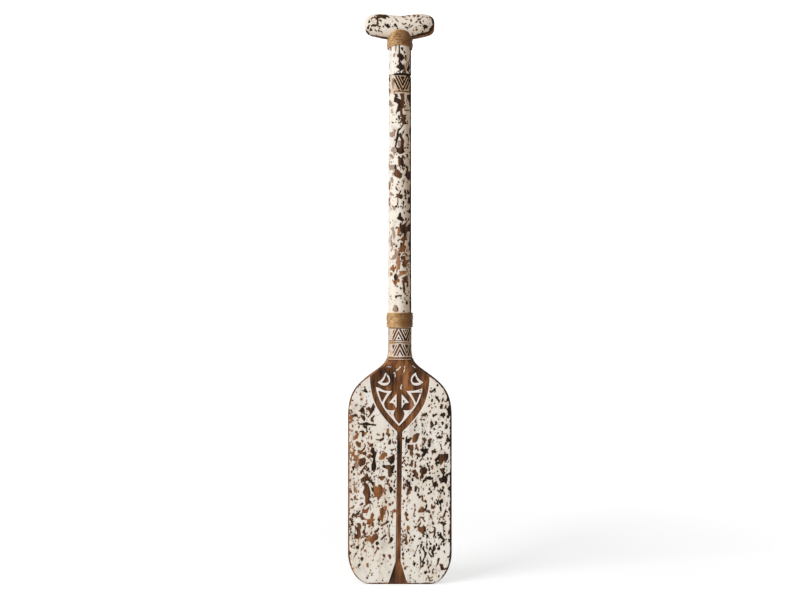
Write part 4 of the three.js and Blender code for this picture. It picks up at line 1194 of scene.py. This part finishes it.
def uneven(angle, seed, size):
    """A slow wander along a strand, because no turn lies quite true."""
    return size * np.array([noise.noise(Vector((a * 1.3, seed, 0.5))) for a in angle])


def winding(name, seat, low, high, turns, width, thickness, rise, rim):
    """A coil between two heights, level in its first and last turn, which stand out by rim;
    rise(angle, share) lifts it where it rides over the grip."""
    angle = np.linspace(0, turns * 2 * math.pi, round(turns * 64))
    turn, angle = angle / (2 * math.pi), angle + math.pi
    share = np.clip((turn - 1) / (turns - 2), 0, 1)
    height = low + (high - low) * share + rise(angle, share) + uneven(angle, 1.7, 0.2 * MM)
    ends = smooth(1.3 - turn) + smooth(1.3 - turns + turn)
    radius = seat + thickness / 2 + rim * ends + np.abs(uneven(angle, 4.2, 0.3 * MM))
    return strand(name, round_path(angle, radius, height), seat, width, thickness)


def plait(name, seat, low, high, width, thickness, rise, shift, bights=8, rounds=3):
    """One strand plaited round and round: it swings from edge to edge, over one and under one."""
    angle = np.linspace(0, rounds * 2 * math.pi * 0.998, rounds * 200)
    swing = angle * bights / rounds
    share = 0.5 - 0.5 * np.cos(swing)
    place = angle + shift
    height = low + (high - low) * share + rise(place, share) + uneven(angle, 9.1, 0.25 * MM)
    over = np.cos(rounds * swing) * np.tanh(4 * np.sin(swing))
    radius = seat + thickness * (1.05 + 0.5 * over)
    return strand(name, round_path(place, radius, height), seat, width, thickness)


# %% Bind the neck
TURNS = 11
NECK_CANE_WIDTH, NECK_CANE_THICKNESS, NECK_RIM = 2.6 * MM, 1.2 * MM, 1.1 * MM
LACE_WIDTH, LACE_THICKNESS = 1.4 * MM, 0.6 * MM
OVER_PAINT, OVER_CANE = 0.35 * MM, 0.1 * MM
NECK_LACE_INSET = 4.2 * MM


def level(angle, share):
    """Round the neck there is nothing to ride over."""
    return 0 * angle


neck_low, neck_high = (corner.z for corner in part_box("neck_binding"))
neck_seat = NECK_RADIUS + OVER_PAINT
neck_turns = winding(
    "neck_cane", neck_seat, neck_low + NECK_CANE_WIDTH / 2, neck_high - NECK_CANE_WIDTH / 2,
    TURNS, NECK_CANE_WIDTH, NECK_CANE_THICKNESS, level, NECK_RIM,
)
neck_plait = plait(
    "neck_plait", neck_seat + NECK_CANE_THICKNESS + OVER_CANE, neck_low + NECK_LACE_INSET,
    neck_high - NECK_LACE_INSET, LACE_WIDTH, LACE_THICKNESS, level, shift=0.1,
)
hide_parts("neck_binding")
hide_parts("neck_lace")

# %% Bind the grip
GRIP_CANE_WIDTH, GRIP_CANE_THICKNESS, GRIP_RIM = 2.3 * MM, 1.4 * MM, 0.3 * MM
BELOW_JOINT, BINDING_HEIGHT, GRIP_LACE_INSET = 9.1 * MM, 18.3 * MM, 2.2 * MM


def over_the_grip(angle, share):
    """The binding rides up over the grip's belly in front and behind."""
    front = 1 - np.abs(np.sin(angle)) ** 3
    return front * (4 * MM + 6 * MM * share)


grip_seat = TOP_RADIUS + OVER_PAINT
first_turn = GRIP_JOINT - BELOW_JOINT
last_turn = first_turn + BINDING_HEIGHT
grip_turns = winding(
    "grip_cane", grip_seat, first_turn, last_turn,
    TURNS, GRIP_CANE_WIDTH, GRIP_CANE_THICKNESS, over_the_grip, GRIP_RIM,
)
grip_plait = plait(
    "grip_plait", grip_seat + GRIP_CANE_THICKNESS + OVER_CANE, first_turn + GRIP_LACE_INSET,
    last_turn - GRIP_LACE_INSET, LACE_WIDTH, LACE_THICKNESS, over_the_grip, shift=0.4,
)
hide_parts("grip_binding")
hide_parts("grip_lace")
bindings = [neck_turns, grip_turns, neck_plait, grip_plait]
for piece in bindings:
    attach(piece, "root")

# %% [markdown]
# ## Shader maths as plain expressions
#
# A shader is a graph of nodes, but most of its work is arithmetic. Linking Math nodes one by one
# hides the sum that they make. Wrapping a socket in a small class lets the recipes below read as
# formulas: each operator adds the Math node that it means.


# %% The wire and the finish
class Wire:
    """A number in a shader. Arithmetic on it adds Math nodes."""

    def __init__(self, socket):
        self.socket = socket

    def maths(self, operation, *values):
        node = self.socket.id_data.nodes.new("ShaderNodeMath")
        node.operation = operation
        for place, value in zip(node.inputs, values):
            feed(place, value)
        return Wire(node.outputs[0])

    def __add__(self, other):
        return self.maths("ADD", self, other)

    def __sub__(self, other):
        return self.maths("SUBTRACT", self, other)

    def __rsub__(self, other):
        return self.maths("SUBTRACT", other, self)

    def __mul__(self, other):
        return self.maths("MULTIPLY", self, other)

    def least(self, other):
        return self.maths("MINIMUM", self, other)

    def most(self, other):
        return self.maths("MAXIMUM", self, other)

    __radd__ = __add__
    __rmul__ = __mul__


def feed(place, value):
    """Links a wire to a socket, or sets the socket's value."""
    if isinstance(value, Wire):
        place.id_data.links.new(value.socket, place)
    else:
        place.default_value = value


class Finish:
    """A material, and the one method that adds any kind of node to it."""

    def __init__(self, name):
        self.material = bpy.data.materials.new(name)
        self.material.use_nodes = True
        self.tree = self.material.node_tree
        self.shader = self.tree.nodes["Principled BSDF"]

    def node(self, kind, settings=None, out=0, **sockets):
        node = self.tree.nodes.new("ShaderNode" + kind)
        for key, value in (settings or {}).items():
            if key == "stops":
                set_stops(node.color_ramp, value)
            else:
                setattr(node, key, value)
        for key, value in sockets.items():
            name = key.replace("_", " ")
            matches = [s for s in node.inputs if s.name == name and s.enabled]
            feed(matches[0], value)
        outputs = [s for s in node.outputs if s.enabled]
        return Wire(outputs[out])

    def surface(self, **values):
        """Sets or links the shader's own sockets."""
        for key, value in values.items():
            feed(self.shader.inputs[key.replace("_", " ")], value)

    def field(self, name):
        return self.node("Attribute", {"attribute_name": name}, out=2)

    def clouds(self, scale, stretch=(1, 1, 1), detail=3.0, seed=0.0):
        """Noise from 0 to 1 on the object's own coordinates, scale in cells to the metre."""
        place = self.node("TexCoord", out=3)
        mapped = self.node("Mapping", Vector=place, Scale=stretch, Location=(seed, seed, seed))
        return self.node("TexNoise", Vector=mapped, Scale=scale, Detail=detail, Roughness=0.6)

    def mask(self, value, edge, softness):
        """1 where the value is below the edge, 0 above it."""
        return self.node(
            "MapRange", {"interpolation_type": "SMOOTHSTEP"},
            Value=value, From_Min=edge - softness, From_Max=edge + softness, To_Min=1.0, To_Max=0.0,
        )

    def blend(self, share, first, second):
        return self.node("Mix", {"data_type": "RGBA"}, Factor=share, A=first, B=second)

    def ramp(self, value, stops):
        return self.node("ValToRGB", {"stops": stops}, Fac=value)


def set_stops(ramp, stops):
    """Gives a colour ramp its stops, each a place and a colour."""
    while len(ramp.elements) < len(stops):
        ramp.elements.new(0.5)
    for element, (place, colour) in zip(ramp.elements, stops):
        element.position = place
        element.color = colour


def srgb(red, green, blue):
    """A colour as seen on a screen, 0 to 255, as the linear colour that a shader takes."""
    parts = [c / 255 for c in (red, green, blue)]
    return tuple(c / 12.92 if c <= 0.04045 else ((c + 0.055) / 1.055) ** 2.4 for c in parts) + (1.0,)


# %% [markdown]
# ## Limewash over wood
#
# The wood comes first: grain that runs along the piece, in the tone that the mesh carries. The
# paint lies over it: chalky, streaked by the brush, greyer and thinner where it has worn. One
# picture of painted wood would be quicker, but it wouldn't follow this carving. Three things take
# the paint away: the cuts, the chips that the mesh knows, and a fine spray of specks that only
# the shader draws.

# %% The limewashed finish
CREAM, CHALK = srgb(242, 233, 219), srgb(248, 244, 238)
STAIN, SMUDGE = srgb(204, 182, 154), srgb(184, 170, 158)
TAN = srgb(188, 140, 80)
UMBER, BROWN = srgb(36, 23, 15), srgb(104, 66, 41)
RUST, WEATHERED_AND_SHEEN = srgb(164, 106, 60), srgb(164, 143, 128)
EDGE_SOFTNESS = 0.15 * MM
SPECK_SIZES = ((170.0, 0.32, 0.2), (310.0, 0.24, 0.23))


def stained_wood(finish, grain, fine, tone, carved):
    """Grain from black through brown and orange to grey, in the tone that the mesh carries."""
    patchy = finish.clouds(70, (1, 1, 0.5), seed=17.0)
    value = tone * 0.85 + (grain - 0.5) * 1.7 + (fine - 0.5) * 0.7
    value = value + (patchy - 0.5) * (1 - carved * 0.35) * 0.9
    # The grey end stands for weathered wood, and on the pole's left for a painted sheen.
    return finish.ramp(value, [(0.0, UMBER), (0.36, BROWN), (0.66, RUST), (0.86, WEATHERED_AND_SHEEN)])


def white_paint(finish, streak, fine, cut, bare, tan):
    """Chalky paint with brush streaks, smudges and a tan wash, which is partly painted shade on
    the right-hand sides, stained round the chips and with a painted highlight along the lip of
    each cut."""
    cloudy = finish.clouds(16, (1, 1, 0.6), detail=4.0, seed=13.0)
    smudges = finish.clouds(46, (1, 1, 0.55), detail=4.0, seed=23.0)
    paint = finish.blend(finish.mask(cloudy, 0.47, 0.09) * 0.55, CREAM, CHALK)
    paint = finish.blend(finish.mask(streak, 0.4, 0.08) * 0.34, paint, STAIN)
    paint = finish.blend(finish.mask(smudges, 0.4, 0.08) * 0.4, paint, SMUDGE)
    # The tan wash, partly painted shade on the right-hand sides and the grip's underside.
    paint = finish.blend(tan, paint, TAN)
    paint = finish.blend(finish.mask(bare, 1.4 * MM, 1.1 * MM) * fine * 0.5, paint, STAIN)
    # Painted highlight: brighter chalk along the lip of each cut.
    return finish.blend(finish.mask(cut, 1.0 * MM, 0.5 * MM) * (1 - tan) * 0.95, paint, CHALK)


def specks(finish, fray):
    """Pin-head chips: some cells of a Voronoi pattern, in patches, each with a dot in it. A size
    is its cells to the metre, the share of them that has a dot, and how far the dot reaches."""
    place = finish.node("TexCoord", out=3)
    place = finish.node("Mapping", Vector=place, Scale=(1, 1, 0.75))
    found = 0.0
    for scale, share, reach in SPECK_SIZES:
        size = finish.node("TexVoronoi", Vector=place, Scale=scale, out=0)
        cell = finish.node("TexVoronoi", Vector=place, Scale=scale, out=1)
        picked = finish.mask(finish.node("SeparateColor", Color=cell, out=0), share, 0.01)
        found = (finish.mask(size + fray * 0.35, reach, 0.04) * picked).most(found)
    return found * finish.mask(finish.clouds(24, (1, 1, 0.8), seed=11.0), 0.53, 0.06)


def limewashed(name, along):
    """Paint over wood. along stretches the grain along one axis of the piece."""
    finish = Finish(name)
    cut, bare, tone, tan = (finish.field(f) for f in ("cut", "bare", "tone", "tan"))
    grain = finish.clouds(85, along, detail=5.0)
    fine = finish.clouds(420, along, seed=3.0)
    streak = finish.clouds(150, along, detail=4.0, seed=5.0)
    fray = finish.clouds(650, (1, 1, 0.7), detail=4.0, seed=7.0) - 0.5
    chipped = finish.mask(bare + fray * (1.6 * MM), 0.0, EDGE_SOFTNESS).most(specks(finish, fray))
    carved = finish.mask(cut + fray * (0.4 * MM), 0.0, EDGE_SOFTNESS)
    gone = chipped.most(carved)
    paint = white_paint(finish, streak, fine, cut, bare, tan)
    wood = stained_wood(finish, grain, fine, tone, carved)
    height = (1 - gone) * 0.3 + (streak - 0.5) * 0.1 + (grain - 0.5) * gone * 0.5
    finish.surface(
        Base_Color=finish.blend(gone, paint, wood), Roughness=0.72 + (grain - 0.5) * 0.15,
        Specular_IOR_Level=0.16,
        Normal=finish.node("Bump", Strength=0.6, Distance=0.8 * MM, Height=height),
    )
    return finish.material


UP_THE_POLE, ALONG_THE_BAR = (1, 1, 0.07), (0.07, 1, 1)
for piece, along in ((board, UP_THE_POLE), (pole, UP_THE_POLE), (grip, ALONG_THE_BAR)):
    piece.data.materials.append(limewashed("limewash_" + piece.name, along))
    print(piece.name, "is limewashed")

# %% [markdown]
# ## Cane and pegs
#
# The cane is golden, with a painted highlight on the left, where the light reaches it, and
# painted shade at each strand's edges and towards the right. A dark gap between turns could be
# left to the light alone, but the turns lie so close that the strands need their own painted
# shade. The pegs are plain stained wood, and hidden.


# %% Cane and bare wood
STRAW, HONEY, SHADE = srgb(234, 198, 142), srgb(188, 132, 66), srgb(106, 60, 20)


def cane_finish():
    """Split cane: patches of colour, fine fibres that run with the turns, painted shade and a
    painted highlight.
    """
    finish = Finish("split_cane")
    patchy = finish.clouds(130, detail=4.0, seed=1.0)
    fibre = finish.clouds(900, (0.25, 0.25, 1), seed=2.0)
    colour = finish.ramp(patchy * 0.8 + fibre * 0.4 - 0.1, [(0.26, SHADE), (0.46, HONEY), (0.68, STRAW)])
    side, seam = finish.field("side"), finish.field("seam")
    # Painted shade along each strand's edges, where the turns shade each other.
    colour = finish.blend(seam * seam * 0.75, colour, SHADE)
    # Painted shade towards the right, and a painted highlight in straw on the left.
    colour = finish.blend((side * 0.65 + 0.34).most(0.0).least(0.78), colour, SHADE)
    colour = finish.blend((side * -0.5).most(0.0).least(0.4), colour, STRAW)
    finish.surface(
        Base_Color=colour, Roughness=0.35 + fibre * 0.3,
        Normal=finish.node("Bump", Strength=0.5, Distance=0.3 * MM, Height=fibre),
    )
    return finish.material


def bare_wood():
    """Plain wood for the pegs, with its grain along them."""
    finish = Finish("bare_wood")
    grain = finish.clouds(90, (1, 0.1, 1), detail=5.0)
    colour = finish.ramp(grain, [(0.2, UMBER), (0.6, BROWN), (1.0, RUST)])
    finish.surface(Base_Color=colour, Roughness=0.5 + grain * 0.2)
    return finish.material


cane = cane_finish()
for piece in bindings:
    piece.data.materials.append(cane)
peg_wood = bare_wood()
for name in ("neck_peg", "grip_peg"):
    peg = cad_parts[name]
    peg.data.materials.clear()
    peg.data.materials.append(peg_wood)
print(len(bindings), "strands of cane and 2 pegs have their finish")

# %% [markdown]
# ## Light, floor and camera
#
# The photograph is a white studio shot: one broad light from the left and a little above, soft
# fill from everywhere else, and a floor so bright that only a faint shadow shows on it. Strong
# lamps would burn out the paint before the floor turned white, so the floor and the wall glow a
# little by themselves, for the camera alone. The floor glows less close to the paddle, which
# keeps the shadow.

# %% Floor and backdrop
SET_SIZE = 40.0
SET_SURFACE = {
    "Base_Color": (0.86, 0.86, 0.86, 1), "Roughness": 1.0, "Specular_IOR_Level": 0.0,
    "Emission_Color": (1, 1, 1, 1), "Emission_Strength": 1.0,
}
FAR_GLOW, NEAR_GLOW = (0.66, 0.66, 0.66, 1), (0.44, 0.44, 0.44, 1)
GLOW_EDGE, GLOW_SOFTNESS = 1.1, 0.7


def plane(name, corners):
    """A flat part of the set. It is hidden from other surfaces, so it doesn't light the paddle."""
    mesh = bpy.data.meshes.new(name)
    mesh.from_pydata(corners, [], [(0, 1, 2, 3)])
    piece = bpy.data.objects.new(name, mesh)
    scene.collection.objects.link(piece)
    finish = Finish(name)
    finish.surface(**SET_SURFACE)
    mesh.materials.append(finish.material)
    piece.visible_diffuse = piece.visible_glossy = False
    return finish


def plain_set():
    """The floor, whose glow depends on the way to the paddle, and the wall far behind it."""
    far = SET_SIZE
    floor = plane("floor", [(-far, -far, 0), (far, -far, 0), (far, far, 0), (-far, far, 0)])
    plane("backdrop", [(-far, far, -1), (far, far, -1), (far, far, far), (-far, far, far)])
    away = floor.node("VectorMath", {"operation": "LENGTH"}, Vector=floor.node("TexCoord", out=3))
    glow = floor.mask(away, GLOW_EDGE, GLOW_SOFTNESS)
    floor.surface(Emission_Color=floor.blend(glow, FAR_GLOW, NEAR_GLOW))


plain_set()

# %% World, lights and camera
MIDDLE = Vector((0, 0, 0.5))
SKY_STRENGTH = 0.42
LENS, SENSOR = 50.0, 36.0


def studio_sky():
    """Even white light from everywhere."""
    world = bpy.data.worlds.new("white_studio")
    scene.world = world
    world.use_nodes = True
    background = world.node_tree.nodes["Background"]
    background.inputs["Color"].default_value = (1, 1, 1, 1)
    background.inputs["Strength"].default_value = SKY_STRENGTH


def soft_light(name, place, side, power):
    """A square area light that looks at the middle of the paddle."""
    data = bpy.data.lights.new(name, "AREA")
    data.shape = "RECTANGLE"
    data.size = data.size_y = side
    data.energy = power
    light = bpy.data.objects.new(name, data)
    light.location = place
    light.rotation_euler = (MIDDLE - Vector(place)).to_track_quat("-Z", "Y").to_euler()
    scene.collection.objects.link(light)


def level_camera():
    """The camera of the photograph, level and square to the front."""
    data = bpy.data.cameras.new("camera")
    data.lens, data.sensor_width = LENS, SENSOR
    camera = bpy.data.objects.new("camera", data)
    camera.location = (CAMERA_ACROSS, -CAMERA_DISTANCE, CAMERA_HEIGHT)
    camera.rotation_euler = (math.radians(90), 0, 0)
    scene.collection.objects.link(camera)
    return camera


studio_sky()
soft_light("key", (-3.8, -2.85, 2.0), 3.0, 180)
soft_light("fill", (0.5, -2.4, 0.9), 1.6, 8)
bpy.context.scene.camera = level_camera()
scene.view_settings.view_transform = "Standard"
print(f"camera {CAMERA_DISTANCE} m away and {CAMERA_HEIGHT} m up, lens {LENS:.0f} mm")
